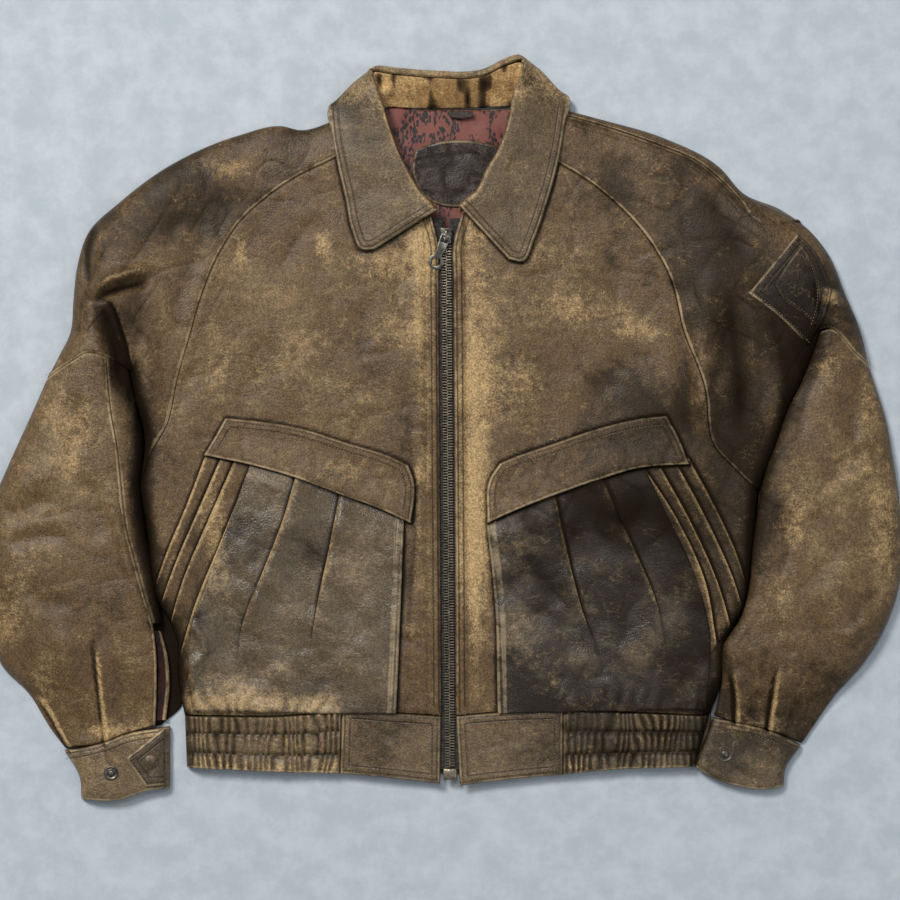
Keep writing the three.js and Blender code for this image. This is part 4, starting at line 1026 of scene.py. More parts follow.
rightZipEdge = zipLine(-1, cut["rightNeck"][0])
leftZipEdge = zipLine(1, cut["leftNeck"][0])
panels = {
    "rightFront": {
        "start": line["rightWaist"], "end": segment(cut["rightRaglan"][-1], cut["rightNeck"][-1]),
        "left": join(line["rightSide"], line["rightRaglan"]), "right": join(rightZipEdge, line["rightNeck"]),
    },
    "leftFront": {
        "start": line["leftWaist"], "end": segment(cut["leftRaglan"][-1], cut["leftNeck"][-1]),
        "left": join(line["leftSide"], line["leftRaglan"]), "right": join(leftZipEdge, line["leftNeck"]),
    },
    "back": {
        "start": segment((-264, -286), (262, -286)),
        "end": segment((-94, 284), (-92, 312), (-66, 321), (-40, 322), (40, 322), (61, 322), (92, 312),
                       (92, 284)),
        "left": join(line["rightSide"], line["rightRaglan"]),
        "right": join(line["leftSide"], line["leftRaglan"]),
    },
    "backBand": {
        "start": segment((-264, -286.4), (262, -286.4)),
        "end": segment((-262, -338), (-40, -345), (60, -345), (248, -337)),
        "left": line["rightBandEnd"], "right": line["leftBandEnd"],
    },
}


hem = {"puffsAt": -272, "puffsReach": 15, "puffs": 3.4, "wornAt": -274, "wornReach": 9, "period": 17}


def hemBulge(x, y):
    return np.abs(np.sin(math.pi * (x / hem["period"] + 0.9 * wander(x, y, 30, 31))))


def beyondTabs(x):  # the plain tabs beside the zip don't gather the hem
    return ease((np.abs(x) - 96) / 30)


def hemPuffs(x, y):  # the fullness that the gathered band draws up above it
    near = bell((y - hem["puffsAt"]) / hem["puffsReach"]) * beyondTabs(x)
    return near * (hem["puffs"] * hemBulge(x, y) * (0.7 + 0.5 * wander(x, y, 26, 32)) - 0.4)


def hemWear(x, y):  # the puffs above the band are rubbed to a golden brown, less on the wearer's left
    near = bell((y - hem["wornAt"]) / hem["wornReach"]) * beyondTabs(x)
    return near * (0.45 + 0.85 * hemBulge(x, y)) * np.where(x < 0, 1.0, 0.25)


def placket(x, y):  # the zip facing stands up a little along its stitched rows
    fromZip = np.abs(x - zipX(y)) - zipPlan["edge"]
    turned = -1.8 * bell(fromZip / 1.3) + 1.9 * bell((fromZip - 5.6) / 4.6)
    valley = -1.5 * bell((fromZip - 13) / 2.6) + 1.0 * bell((fromZip - 21) / 6)
    return (turned + valley) * ease((235 - y) / 20)


def frontShape(x, y, u, v):
    return hemPuffs(x, y) + placket(x, y), 0, hemWear(x, y)


def frontFace(x, y):
    return bodyLie(x, y)[0] + frontShape(x, y, 0, 0)[0]


def makeFronts():
    for side, edge, turn in (("right", rightZipEdge, 1), ("left", leftZipEdge, -1)):
        name = side + "Front"
        seams = [(line[side + "Raglan"], 0.0, 0), (line[side + "Waist"], 0.2, 0), (edge, 0.7, 1)]
        pocket = pockets[side]
        covers = [smooth(path) for path in pocket["flap"].values()]
        covers += [smooth(pocket["pouch"][pocket["inner"]]), smooth(pocket["tucks"][pocket["outer"]])]
        covers += collarEdges()
        layPanel(name, panels[name], bodyLie, seams, "brownLeather", "brown_leather", [side + "_front"],
                 spacing=2.2, shape=frontShape, crowding=0.3, covers=covers, restsOn=["backPanel"])
        stitch(name + "ZipStitches", [(edge, turn * nearRow), (edge, turn * farRow)], frontFace)
    layUnder("backPanel", panels["back"], "brownLeather", "brown_leather", ["back_panel"], bent=True)
    layUnder("backWaistband", panels["backBand"], "bandLeather", "worn_tan_leather", ["back_waistband"])
    print("fronts and back laid")


overarm = segment(*cut["leftOverarm"], line["leftShoulder"][44])
overarmSeam = (line["leftOverarm"], 0.4, 0.6, 0.06)
elbowSeams = {"right": (line["rightElbow"], 0.7, 0), "left": (line["leftElbow"], 0.7, 0)}
rightElbowRow = segment(*cut["rightElbow"][1:])
sleeves = {
    "rightUpper": {"start": segment(*cut["rightRaglan"], cut["rightShoulder"][0]), "end": line["rightElbow"],
                   "left": line["rightFold"], "right": line["rightShoulder"]},
    "leftUpper": {"start": segment(*cut["leftRaglan"], cut["leftOverarm"][0]), "end": line["leftElbow"],
                  "left": line["leftFold"], "right": join(overarm, line["leftShoulder"][44:])},
    "leftOverarm": {"start": segment((112, 317), (114, 322)), "end": line["leftShoulder"][44:46],
                    "left": overarm, "right": line["leftShoulder"][:46]},
    "leftUpperBack": {"start": segment(*cut["leftRaglan"], cut["leftShoulder"][0]), "end": line["leftElbow"],
                      "left": line["leftFold"], "right": line["leftShoulder"]},
    "rightLower": {"start": rightElbowRow, "end": line["rightCuffSeam"], "left": line["rightInseam"],
                   "right": line["rightOuter"]},
    "rightWrap": {"start": segment((-341, 73), (-319, 60)), "end": segment((-295, -193), (-286, -193)),
                  "left": segment(*cut["rightInseam"][:8]), "right": line["rightInner"]},
    "rightLowerBack": {"start": segment((-319, 60), *cut["rightElbow"][1:]),
                       "end": segment((-288, -296), *cut["rightCuffSeam"][1:]),
                       "left": segment(*cut["rightInner"][:6], (-284, -166), (-270, -192), (-262, -216),
                                       (-260, -246), (-260, -276), (-280, -296)),
                       "right": line["rightOuter"]},
    "leftLower": {"start": line["leftElbow"], "end": line["leftCuffSeam"], "left": line["leftInner"],
                  "right": line["leftOuter"]},
    "slit": outlined([(-295, -200), (-291, -203)], [(-293, -292), (-285, -291)],
                     [(-295, -200), (-292, -223), (-292, -258), (-293, -292)],
                     [(-291, -203), (-283, -230), (-281, -254), (-285, -291)]),
    "facing": outlined([(-291, -201), (-287, -205)], [(-287, -291), (-283, -291)],
                       [(-291, -201), (-285, -228), (-283.5, -254), (-287, -291)],
                       [(-287, -205), (-281, -230), (-279.5, -254), (-283, -291)]),
}


def upperTone(x, y, u, v):  # the sleeves have kept more of their dark finish than the fronts
    return 0, 0.12 + 0.1 * wander(x, y, 44, 75), 0


def makeSleeves():
    rightLie, leftLie = lie(rightSleeveRolls), lie(leftSleeveRolls)
    leather = ("brownLeather", "brown_leather")
    underLeather = ("greyLeather", "dark_leather")
    layPanel("rightUpperSleeve", sleeves["rightUpper"], bodyLie,
             [(line["rightRaglan"], 1.0, 0), elbowSeams["right"]], *leather, ["right_sleeve_upper_front"],
             shape=upperTone, bent=True, restsOn=["rightUpperSleeveBack"])
    layPanel("leftUpperSleeve", sleeves["leftUpper"], bodyLie,
             [(line["leftRaglan"], 1.0, 0), elbowSeams["left"], overarmSeam], *leather,
             ["left_sleeve_upper_front"], shape=upperTone, bent=True, restsOn=["leftUpperSleeveBack"])
    layPanel("leftOverarmStrip", sleeves["leftOverarm"], bodyLie, [overarmSeam], *leather, spacing=2.0,
             restsOn=["leftUpperSleeveBack"])
    layPanel("rightLowerSleeve", sleeves["rightLower"], rightLie,
             [elbowSeams["right"], (line["rightInseam"], 1.0, 0), (line["rightCuffSeam"], 0.1, 0)], *leather,
             ["right_sleeve_lower_outer"], spacing=1.5, restsOn=["rightLowerSleeveBack"])
    layPanel("rightSleeveWrap", sleeves["rightWrap"], rightLie, [(line["rightInseam"], 0.3, 0)], *leather,
             spacing=1.8, restsOn=["rightLowerSleeveBack"])
    layPanel("leftLowerSleeve", sleeves["leftLower"], leftLie,
             [elbowSeams["left"], (line["leftCuffSeam"], 0.1, 0)], *leather, ["left_sleeve_lower_outer"],
             spacing=1.5, restsOn=["leftLowerSleeveBack", "leftFront"])
    stitch("overarmStitches", [(line["leftOverarm"], nearRow)], seamed(bodyLie, [overarmSeam]))
    for side, row, offset in (("right", rightElbowRow, -3.0), ("left", line["leftElbow"], 3.0)):
        face = seamed(bodyLie, [elbowSeams[side]])
        stitch(side + "ElbowStitches", [(row, offset)], face, "darkThread")
    layUnder("rightUpperSleeveBack", sleeves["rightUpper"], *leather, ["right_sleeve_upper_back"], bent=True)
    layUnder("leftUpperSleeveBack", sleeves["leftUpperBack"], *leather, ["left_sleeve_upper_back"], bent=True)
    # painted shadow along the line where it runs under the body
    layUnder("rightLowerSleeveBack", sleeves["rightLowerBack"], *underLeather, ["right_sleeve_lower_under"],
             shaded=line["rightBelowWrap"])
    layUnder("leftLowerSleeveBack", sleeves["leftLower"], *underLeather, ["left_sleeve_lower_under"])
    # the slit's lining is the darker copy, painted shade
    layPanel("rightSlitLining", sleeves["slit"], flatLie(4.4), [], "slitLining", "printed_lining",
             ["right_slit_lining"], spacing=1.5, wall=0.8, restsOn=["rightLowerSleeveBack"])
    facing = sleeves["facing"]
    layPanel("rightSlitFacing", facing, flatLie(6.2), [(facing["left"], 0.9, 0)], *leather, spacing=1.2,
             restsOn=["rightSlitLining"])
    print("sleeves laid")


def flatLie(level, waves=0.5):
    def height(x, y):
        return level + waves * wander(x, y, 22, 41), np.zeros(x.shape), np.zeros(x.shape)

    return height


gathered = {"period": 7.0, "depth": 4.4, "rows": (0.34, 0.71), "shifts": (0.31, 0.37), "rowHalf": 0.055}


def gathers(x, y, u, v):  # puffs between rows of stitching, drawn up along the band
    between = np.ones(x.shape)
    shift = np.zeros(x.shape)
    for row, moved in zip(gathered["rows"], gathered["shifts"]):
        between = between * (1 - bell((v - row) / gathered["rowHalf"]))
        shift = shift + np.where(v > row, moved, 0.0)
    phase = x / gathered["period"] + 1.1 * wander(x, y * 0.3, 17, 51) + shift
    puff = np.abs(np.sin(math.pi * phase))
    strength = ease(u / 0.04) * ease((1 - u) / 0.04) * (0.7 + 0.4 * wander(x, y, 26, 52))
    z = gathered["depth"] * (0.3 + 0.7 * between) * strength * puff - 0.9 * (1 - between)
    # painted shade in the hollows between the puffs and in the dips along the rows of stitching
    dark = 0.7 * strength * (1 - puff) ** 2 + 0.28 * (1 - between)
    wear = 0.5 * strength * puff**3 * (0.4 + ease((v - 0.6) / 0.4))
    return z, dark, wear


cuffs = {
    "rightCuff": {"start": segment((-279, -297), *cut["rightCuffSeam"][1:-1], (-385, -321)),
                  "end": line["rightCuffEnd"], "left": line["rightCuffInner"],
                  "right": line["rightCuffOuter"]},
    "leftCuff": {"start": segment((266, -288), *cut["leftCuffSeam"][1:-1], (354, -316)),
                 "end": line["leftCuffEnd"], "left": line["leftCuffInner"], "right": line["leftCuffOuter"]},
    "rightTab": {"start": segment((-321, -327.5), (-284, -298)),
                 "end": join(segment((-321, -330), (-302, -357)), segment((-302, -357), (-283.5, -355))),
                 "left": segment((-321, -327.5), (-321, -330)),
                 "right": segment((-284, -298), (-283.5, -355))},
    "leftTab": outlined([(257.5, -271), (262, -271)], [(243, -335), (247, -335)],
                        [(257.5, -271), (257, -288), (243, -335)], [(262, -271), (264, -288), (247, -335)]),
}
cuffPuff = 1.6


def cuffShape(x, y, u, v):
    return cuffPuff * np.sin(math.pi * v) ** 0.7, 0, 0


def makeCuffs():
    cuffLie = lie(cuffRolls)
    band = ("bandLeather", "worn_tan_leather")
    for side, turn in (("right", 1), ("left", -1)):
        name = side + "Cuff"
        edges = cuffs[name]
        seams = [(edges["start"], 0.4, 1), (edges["end"], 0.9, 0)]
        layPanel(name, edges, cuffLie, seams, *band, [side + "_cuff"], spacing=1.9, shape=cuffShape,
                 restsOn=[name + "Under"])
        layUnder(name + "Under", edges, *band, spacing=4)
        rows = [(edges["start"], turn * nearRow), (edges["start"], turn * farRow), (edges["end"], -turn * 7)]
        stitch(name + "Stitches", rows, seamed(cuffLie, seams, 1.0), lift=0.1)
    tab = cuffs["rightTab"]
    outline = [(tab["start"], 0.9, 1), (tab["end"], 0.7, 1)]
    layPanel("rightCuffTab", tab, cuffLie, outline, "darkBandLeather", "dark_leather", ["right_cuff_tab"],
             spacing=1.4, lift=3.6, welt=0.6, restsOn=["rightCuff"])
    rows = [(tab["start"], -nearRow), (tab["end"], nearRow)]
    stitch("rightCuffTabStitches", rows, seamed(cuffLie, outline, 3.7, 0.6))
    sliver = cuffs["leftTab"]
    layPanel("leftCuffTab", sliver, flatLie(5.5), [(sliver["left"], 0.6, 0)], *band, ["left_cuff_tab"],
             spacing=1.5, restsOn=["leftCuffUnder"])
    print("cuffs laid")


def makeWaistband():
    bandLie = lie(bandRolls)
    band = ("bandLeather", "worn_tan_leather")

    def rowFace(x, y):  # the rows of the gathers lie in their own dips
        return bandLie(x, y)[0] - 0.7

    for side, turn in (("right", 1), ("left", -1)):
        halves = {}
        for part, first, last in (("Side", 0, 16), ("Tab", 16, 32)):
            top, bottom = line[side + "Waist"][first:last + 1], line[side + "Hem"][first:last + 1]
            halves[part] = {"start": top, "end": bottom, "left": segment(top[0], bottom[0]),
                            "right": segment(top[-1], bottom[-1])}
        edges = halves["Side"]
        seams = [(edges["start"], 0.1, 0), (edges["end"], 0.9, 0), (edges["right"], 0.3, 0)]
        layPanel(side + "WaistbandSide", edges, bandLie, seams, *band, [side + "_waistband_side"],
                 spacing=1.1, shape=gathers, welt=0.8, crowding=0.0, restsOn=["backWaistband"])
        u = np.linspace(0.01, 0.99, 60)
        rows = [(coons(edges, u, np.ones(60) * row), 0) for row in gathered["rows"]]
        stitch(side + "GatherStitches", rows, rowFace, "darkThread", lift=0.2)
        edges = halves["Tab"]
        outline = [(edges[key], rubbed, 1)
                   for key, rubbed in (("start", 0.2), ("end", 0.8), ("left", 0.6), ("right", 0.6))]
        layPanel(side + "WaistbandTab", edges, bandLie, outline, *band, [side + "_waistband_tab"],
                 spacing=1.9, lift=0.6, restsOn=["backWaistband"])
        rows = [(edges["start"], -turn * nearRow), (edges["end"], turn * nearRow),
                (edges["left"], turn * nearRow), (edges["left"], turn * farRow),
                (edges["right"], -turn * nearRow), (edges["right"], -turn * farRow)]
        stitch(side + "TabStitches", rows, seamed(bandLie, outline, 0.6))
    print("waistband laid")


def layStrips(name, lines, heights, ends, base, lift, material, replaced, perStrip=18, lengthwise=90,
              wall=1.4, seams=(), extra=None, covers=(), roundOver=3.6):
    # Cloth between lines side by side. Each strip starts high, lying over the end of the one before it;
    # heights has the step at each line, and ends the fraction at which the step has died away
    count = len(lines) - 1
    mesh, u, v = unitGrid(count * perStrip, lengthwise)
    place = np.clip(np.round(u * count * perStrip).astype(int), 0, count * perStrip)
    k = np.minimum(place // perStrip, count - 1)
    w = (place - k * perStrip) / perStrip
    w = np.where(k < count - 1, np.minimum(w * perStrip / (perStrip - 1), 0.994), w)
    near, far = np.zeros((len(v), 2)), np.zeros((len(v), 2))
    step, out = np.zeros(len(v)), np.zeros(len(v))
    for i in range(count):
        mine = k == i
        near[mine], far[mine] = at(lines[i], v[mine]), at(lines[i + 1], v[mine])
        begins = 0.4 + 0.6 * ease(v[mine] / 0.12)
        step[mine] = heights[i] * begins * (1 - ease((v[mine] - ends[i] * 0.4) / (ends[i] * 0.6)))
        nextEnd = ends[i + 1] if i + 1 < count else 1
        nextStep = heights[i + 1] if i + 1 < count else 0
        out[mine] = (nextStep > 0) * (1 - ease((v[mine] - nextEnd * 0.5) / (nextEnd * 0.5)))
    plan = near * (1 - w[:, None]) + far * w[:, None]
    x, y = plan[:, 0], plan[:, 1]
    fromNear = w * np.linalg.norm(far - near, axis=1)
    fromFar = (1 - w) * np.linalg.norm(far - near, axis=1)
    z, dark, wear = base(x, y)
    stepped = step / max(max(heights), 0.1)
    turned = 0.3 + 0.7 * np.sqrt(1 - (1 - np.clip(fromNear / roundOver, 0, 1)) ** 2)
    z = z + lift + step * bell(fromNear / 20) * turned
    if extra is not None:
        more = extra(x, y, u, v)
        z, dark, wear = z + more[0], dark + more[1], wear + more[2]
    # painted shade where each strip runs under the next one's folded edge, plus darker finish patches and painted
    # shadows under covering edges
    dark = dark + 0.95 * out * bell(fromFar / 2.6) + patches(darkPatches, x, y) + paintedContactShadow(covers, x, y)
    wear = wear * 0.6 + 0.95 * stepped * bell(fromNear / 2.6) + 0.6 * patches(rubbedPatches, x, y)
    seam, piping, rows = seamFields(seams, x, y)
    values = {"seam": seam, "piping": piping, "rows": rows, "dark": dark, "wear": wear}
    piece = finishCloth(name, mesh, np.stack([x, y, z], -1), wall, values, material)
    settle(piece, replaced)
    length = max(pathLength(lines[0]), pathLength(lines[-1]))
    return piece


pockets = {
    "right": {
        "pouch": [[(-196, -30), (-214, -80), (-240, -150), (-258, -205), (-256, -280)],
                  [(-152, -46), (-164, -88), (-185, -142), (-206, -197), (-214, -281)],
                  [(-108, -63), (-118, -115), (-130, -172), (-138, -227), (-140, -283)],
                  [(-44, -88), (-46, -140), (-48, -190), (-50, -240), (-52, -283)]],
        "tucks": [[(-240, -20), (-262, -78), (-281, -124), (-291, -152)],
                  [(-226, -26), (-252, -86), (-273, -136), (-286, -172)],
                  [(-213, -30), (-243, -98), (-265, -152), (-277, -192)],
                  [(-196, -34), (-228, -114), (-253, -176), (-267, -222)],
                  [(-186, -38), (-214, -106), (-244, -184), (-262, -250)]],
        "flap": {"start": [(-222, 12), (-200, 10), (-148, 2), (-100, -13), (-56, -27), (-40, -35)],
                 "end": [(-243, -25), (-200, -34), (-148, -49), (-106, -65), (-70, -78), (-37, -93)],
                 "left": [(-222, 12), (-232, -6), (-243, -25)],
                 "right": [(-40, -35), (-34, -52), (-37, -93)]},
        "order": 1, "inner": 3, "outer": 0, "tone": -0.06,
    },
    "left": {
        "pouch": [[(38, -92), (44, -140), (48, -190), (49, -240), (50, -283)],
                  [(106, -62), (118, -118), (132, -174), (152, -232), (158, -281)],
                  [(154, -48), (168, -80), (188, -124), (206, -166), (222, -280)],
                  [(196, -38), (216, -80), (244, -140), (260, -196), (258, -280)]],
        "tucks": [[(186, -40), (212, -86), (240, -150), (256, -230)],
                  [(196, -38), (228, -88), (256, -150), (268, -214)],
                  [(210, -34), (244, -96), (270, -156), (282, -196)],
                  [(226, -30), (258, -90), (284, -148), (294, -178)],
                  [(240, -28), (266, -76), (290, -130), (298, -156)]],
        "flap": {"start": [(52, -33), (64, -28), (104, -14), (152, 2), (190, 11), (218, 14)],
                 "end": [(39, -93), (70, -79), (106, -65), (152, -49), (190, -38), (240, -34)],
                 "left": [(52, -33), (42, -48), (39, -93)], "right": [(218, 14), (230, -8), (240, -34)]},
        "order": -1, "inner": 0, "outer": 4, "tone": 0.3,
    },
}


pocketLook = {
    "tuckStep": 2.3, "tuckEnd": 3.0, "tuckLift": 1.2,
    "pouchSteps": [0.9, 6.5, 5.5], "pouchEnds": [3.0, 0.95, 0.8], "pouchLift": 2.2,
    "facing": 7, "flapLift": 3.6, "flapRise": 3.4, "flapWelt": 0.7,
}


def frontLie(x, y):
    z, dark, wear = bodyLie(x, y)
    return z + hemPuffs(x, y), dark, wear


def pouchFace(x, y):
    return frontLie(x, y)[0] + pocketLook["pouchLift"] + 0.2


def makePocket(side, plan):
    order = plan["order"]
    tucks = [smooth(points) for points in plan["tucks"]][::order]
    pouch = [smooth(points) for points in plan["pouch"]][::order]
    flap = {key: smooth(points) for key, points in plan["flap"].items()}
    under = [flap["end"]]
    count = len(tucks) - 1
    layStrips(side + "PocketTucks", tucks, [pocketLook["tuckStep"]] * count, [pocketLook["tuckEnd"]] * count,
              frontLie, pocketLook["tuckLift"], "brownLeather", [side + "_pocket_tucks"],
              perStrip=10, lengthwise=110, covers=under)
    inwards = -order
    edge = smooth(plan["pouch"][plan["inner"]])
    facing = smooth([(px + pocketLook["facing"] * inwards, py) for px, py in plan["pouch"][plan["inner"]]])

    def swelling(x, y, u, v):  # the loose cloth of the pouch, dull, with painted shade in its hollows and darker finish here and there
        swell = wander(x, y, 40, 71)
        z = ease(v / 0.1) * (1.7 * (1 + swell) + 1.1 * (1 + wander(x, y, 19, 72)))
        dark = 0.2 * np.maximum(-swell, 0) + 0.16 * np.maximum(wander(x, y, 26, 73), 0) + plan["tone"]
        return z, dark, hemWear(x, y) + 0.4 * np.maximum(wander(x, y, 33, 74), 0)

    layStrips(side + "PocketPouch", pouch, pocketLook["pouchSteps"], pocketLook["pouchEnds"], frontLie,
              pocketLook["pouchLift"], "greyLeather", [side + "_pocket_pouch"], perStrip=28,
              lengthwise=120, seams=[(edge, 0.8, 0), (facing, 0.55, 0)], covers=under, extra=swelling,
              roundOver=8)
    outline = [(flap["start"], 0.35, 1), (flap["end"], 1.0, 0), (flap["left"], 0.7, 1),
               (flap["right"], 0.7, 1)]

    def rise(x, y):  # the flap is sewn down along its top and lies over the pouch at its lower edge
        fromTop, fromEnd = nearest(flap["start"], x, y)[0], nearest(flap["end"], x, y)[0]
        return pocketLook["flapRise"] * ease((fromTop / (fromTop + fromEnd + 1e-6) - 0.3) / 0.7)

    def flapShape(x, y, u, v):
        return rise(x, y), 0, 0

    def flapFace(x, y):
        return seamed(bodyLie, outline, pocketLook["flapLift"], pocketLook["flapWelt"])(x, y) + rise(x, y)

    layPanel(side + "PocketFlap", flap, bodyLie, outline, "brownLeather", "brown_leather",
             [side + "_pocket_flap"], spacing=1.9, wall=2.0, lift=pocketLook["flapLift"], shape=flapShape,
             welt=pocketLook["flapWelt"], restsOn=[side + "PocketPouch", side + "Front"])
    top = segment(*at(flap["start"], np.linspace(0.03, 0.97, 9)))
    rows = [(top, -nearRow), (top, -farRow), (flap[side], inwards * nearRow), (flap[side], inwards * farRow)]
    stitch(side + "FlapStitches", rows, flapFace)
    stitch(side + "PouchStitches", [(edge, inwards * nearRow), (edge, inwards * farRow)], pouchFace)


def makePockets():
    for side, plan in pockets.items():
        makePocket(side, plan)
    print("pockets laid")


sleevePatch = {
    "patch": outlined([(299, 136), (322, 164), (348, 196)], [(358, 84), (374, 110), (382, 140)],
                      [(299, 136), (324, 117), (358, 84)], [(348, 196), (366, 178), (382, 140)]),
    "flap": outlined([(324, 145), (336, 164), (352, 185)], [(333, 129), (350, 116), (364, 103)],
                     [(324, 145), (333, 129)], [(352, 185), (366, 160), (371, 133), (364, 103)]),
    "rubbed": {"start": 0.6, "left": 1.0, "end": 0.1, "right": 0.1},
}


def makeSleevePatch():
    patch, flap = sleevePatch["patch"], sleevePatch["flap"]
    outline = [(patch[key], rubbed, 1) for key, rubbed in sleevePatch["rubbed"].items()]
    layPanel("leftSleevePatch", patch, bodyLie, outline, "patchLeather", "dark_leather",
             ["left_sleeve_patch"], spacing=2.0, lift=2.2, welt=0.7, restsOn=["leftUpperSleeve"])
    flapOutline = [(path, 0.2, 0) for path in flap.values()]
    layPanel("leftSleevePatchFlap", flap, bodyLie, flapOutline, "patchLeather", "dark_leather",
             ["left_sleeve_patch_flap"], spacing=1.8, lift=4.4, welt=0.6, restsOn=["leftSleevePatch"])
    rows = [(patch["start"], -nearRow), (patch["left"], nearRow)]
    stitch("patchStitches", rows, seamed(bodyLie, outline, 2.3, 0.7))
    rows = [(flap["right"], -nearRow), (flap["end"], nearRow)]
    stitch("patchFlapStitches", rows, seamed(bodyLie, flapOutline, 4.5, 0.6))
    print("sleeve patch laid")


collar = {
    "fold": [(-12, 219), (-14, 221), (-29, 237), (-41, 258), (-52, 281), (-62, 311), (-71, 340), (-77, 359),
             (-52, 357), (-14, 354), (36, 356), (59, 367), (73, 371), (66, 335), (61, 308), (53, 283),
             (39, 258), (30, 239), (14, 225), (12, 223)],
    "edge": [(-74, 180), (-86, 180), (-96, 200), (-102, 229), (-110, 264), (-116, 296), (-119, 325),
             (-92, 334), (-56, 333), (-14, 333), (36, 333), (62, 333), (90, 340), (121, 334), (117, 306), (110, 267),
             (99, 227), (86, 190), (75, 168), (61, 170)],
    "seam": [(-15, 216), (-18, 218), (-44, 239), (-69, 263), (-86, 284), (-91, 300), (-86, 318), (-66, 324),
             (-40, 323.5), (-14, 323.5), (36, 324), (50, 324.5), (62, 325), (86, 318), (91, 300), (85, 284),
             (67, 265), (41, 241), (15, 219), (12, 217)],
    "backRows": range(7, 13),  # the places where the collar stands up behind the neck
    "backBend": [(-2, 20), (0, 22), (4, 18), (5.5, 9), (0, 3.4)],  # out from the fold, and the height
    "wingBend": [(-0.03, -3.5), (0.0, 0), (0.12, 0.6), (0.4, -1.4), (0.75, -3.4), (1, -4.6)],
    "foldLift": 10, "droop": 9, "floor": 4.4, "backFold": 19.5, "shoulder": 290,
}


def loft(rows, columns, steps):  # a smooth surface through a grid of points, its place across and along
    lengthwise = [smooth(points, 8) for points in np.array(rows, float).transpose(1, 0, 2)]
    across = np.stack([at(path, np.linspace(0, 1, steps + 1)) for path in lengthwise], 1)
    surface = np.stack([at(smooth(row, 8), np.linspace(0, 1, columns + 1)) for row in across])
    mesh, u, v = unitGrid(columns, steps)
    i, j = np.round(v * steps).astype(int), np.round(u * columns).astype(int)
    return mesh, surface[i, j], u, v


def collarEdges():
    fold, edge = collar["fold"], collar["edge"]
    return [smooth(edge[:7]), smooth(edge[13:]), segment(fold[0], edge[0]), segment(fold[-1], edge[-1])]


def collarFallRows():  # points from under the fold to the edge, at each place along the collar
    rows = []
    for i, ((fx, fy), (ex, ey)) in enumerate(zip(collar["fold"], collar["edge"])):
        row = []
        if i in collar["backRows"]:
            length = math.hypot(fx - ex, fy - ey)
            ox, oy = (fx - ex) / length, (fy - ey) / length
            for out, z in (*collar["backBend"], (-length, 2.7)):
                row.append((fx + ox * out, fy + oy * out, z))
        else:
            for t, dz in collar["wingBend"]:
                x, y = fx + (ex - fx) * t, fy + (ey - fy) * t
                droop = collar["droop"] * max(t, 0) * float(ease((y - 300) / 25))
                row.append((x, y, bodyHeight(x, y) + collar["foldLift"] + dz - droop))
        rows.append(row)
    return rows


def makeCollarFall():
    mesh, points, u, v = loft(collarFallRows(), 40, 230)
    x, y = points[:, 0], points[:, 1]
    wings = np.minimum(1, ease((335 - y) / 20))
    outline = collarEdges()
    seam = seamFields([(path, 1, 1) for path in outline], x, y)[0]
    points[:, 2] += wings * (0.9 * wander(x, y, 34, 61) + 0.5 * wander(x, y, 15, 62)) * ease(u / 0.2)
    points[:, 2] += seamProfile(seam) * 0.6 * wings * ease(u / 0.1)
    wear = 0.5 * patches(rubbedPatches, x, y) + 0.5 * bell((u - 0.2) / 0.06) * wings
    wear = wear + 0.45 * ease((y - 300) / 50) + 0.2 * np.maximum(wander(x, y, 22, 67), 0)
    values = {"seam": np.where(u < 0.1, 40, seam), "piping": np.full(x.shape, 0.7), "rows": 0.9 * wings,
              "dark": 0.4 * np.maximum(wander(x, y, 40, 63), 0) + 0.05, "wear": wear}
    piece = finishCloth("collarFall", mesh, points, 2.2, values, "collarLeather")
    settle(piece, ["collar_fall"])
    rows = [(path[3:-3], offset) for path, offset in zip(outline, (-6.5, -6.5, -5.5, 5.5))]
    stitch("collarStitches", rows, surfaceFace(points))


def collarStandRows():  # points from under the fold down to the neck seam
    rows = []
    for i, ((fx, fy), (sx, sy)) in enumerate(zip(collar["fold"], collar["seam"])):
        back = i in collar["backRows"]
        foldZ = collar["backFold"] if back else bodyHeight(fx, fy) + collar["foldLift"] - 2.4
        low = back or sy > collar["shoulder"]
        seamZ = collar["floor"] if low else max(bodyHeight(sx, sy) - 1, collar["floor"])
        start = 0.08 if back else 0.04
        row = []
        for s in (0, 0.25, 0.55, 0.8, 1):
            t = start + (1 - start) * s
            z = foldZ + (seamZ - foldZ) * (0.6 * t + 0.4 * t * t)
            row.append((fx + (sx - fx) * t, fy + (sy - fy) * t, z))
        rows.append(row)
    return rows


def makeCollarStand():
    mesh, points, u, v = loft(collarStandRows(), 22, 220)
    x, y = points[:, 0], points[:, 1]
    points[:, 2] += (1.3 * wander(x, y, 13, 64) + 0.8 * wander(x, y, 7, 68)) * np.sin(math.pi * u)
    points[:, 2] += 0.5 * np.sin(v * 260) * bell((u - 1) / 0.2)
    creased = np.maximum(wander(x * 1.5, y * 0.8, 11, 65) - 0.05, 0)
    values = {"seam": np.maximum((1 - u) * 34, 0.6), "piping": np.full(x.shape, 0.3),
              "rows": np.zeros(x.shape), "dark": 0.25 * bell((u - 1) / 0.12) + 1.1 * creased,
              "wear": 0.35 + 0.4 * wander(x, y, 26, 66)}
    piece = finishCloth("collarStand", mesh, points, 1.6, values, "goldenLeather")
    settle(piece, ["collar_stand"])
    print("collar laid")


def surfaceFace(points):  # the height of a lofted surface, found from its nearest point
    tree = KDTree(len(points))
    for i, (px, py, pz) in enumerate(points):
        tree.insert((px, py, 0), i)
    tree.balance()

    def face(x, y):
        heights = []
        for px, py in zip(x, y):
            found = tree.find_n((px, py, 0), 4)
            weights = [1 / (distance + 0.05) for _, _, distance in found]
            heights.append(sum(w * points[i][2] for w, (_, i, _) in zip(weights, found)) / sum(weights))
        return np.array(heights)

    return face


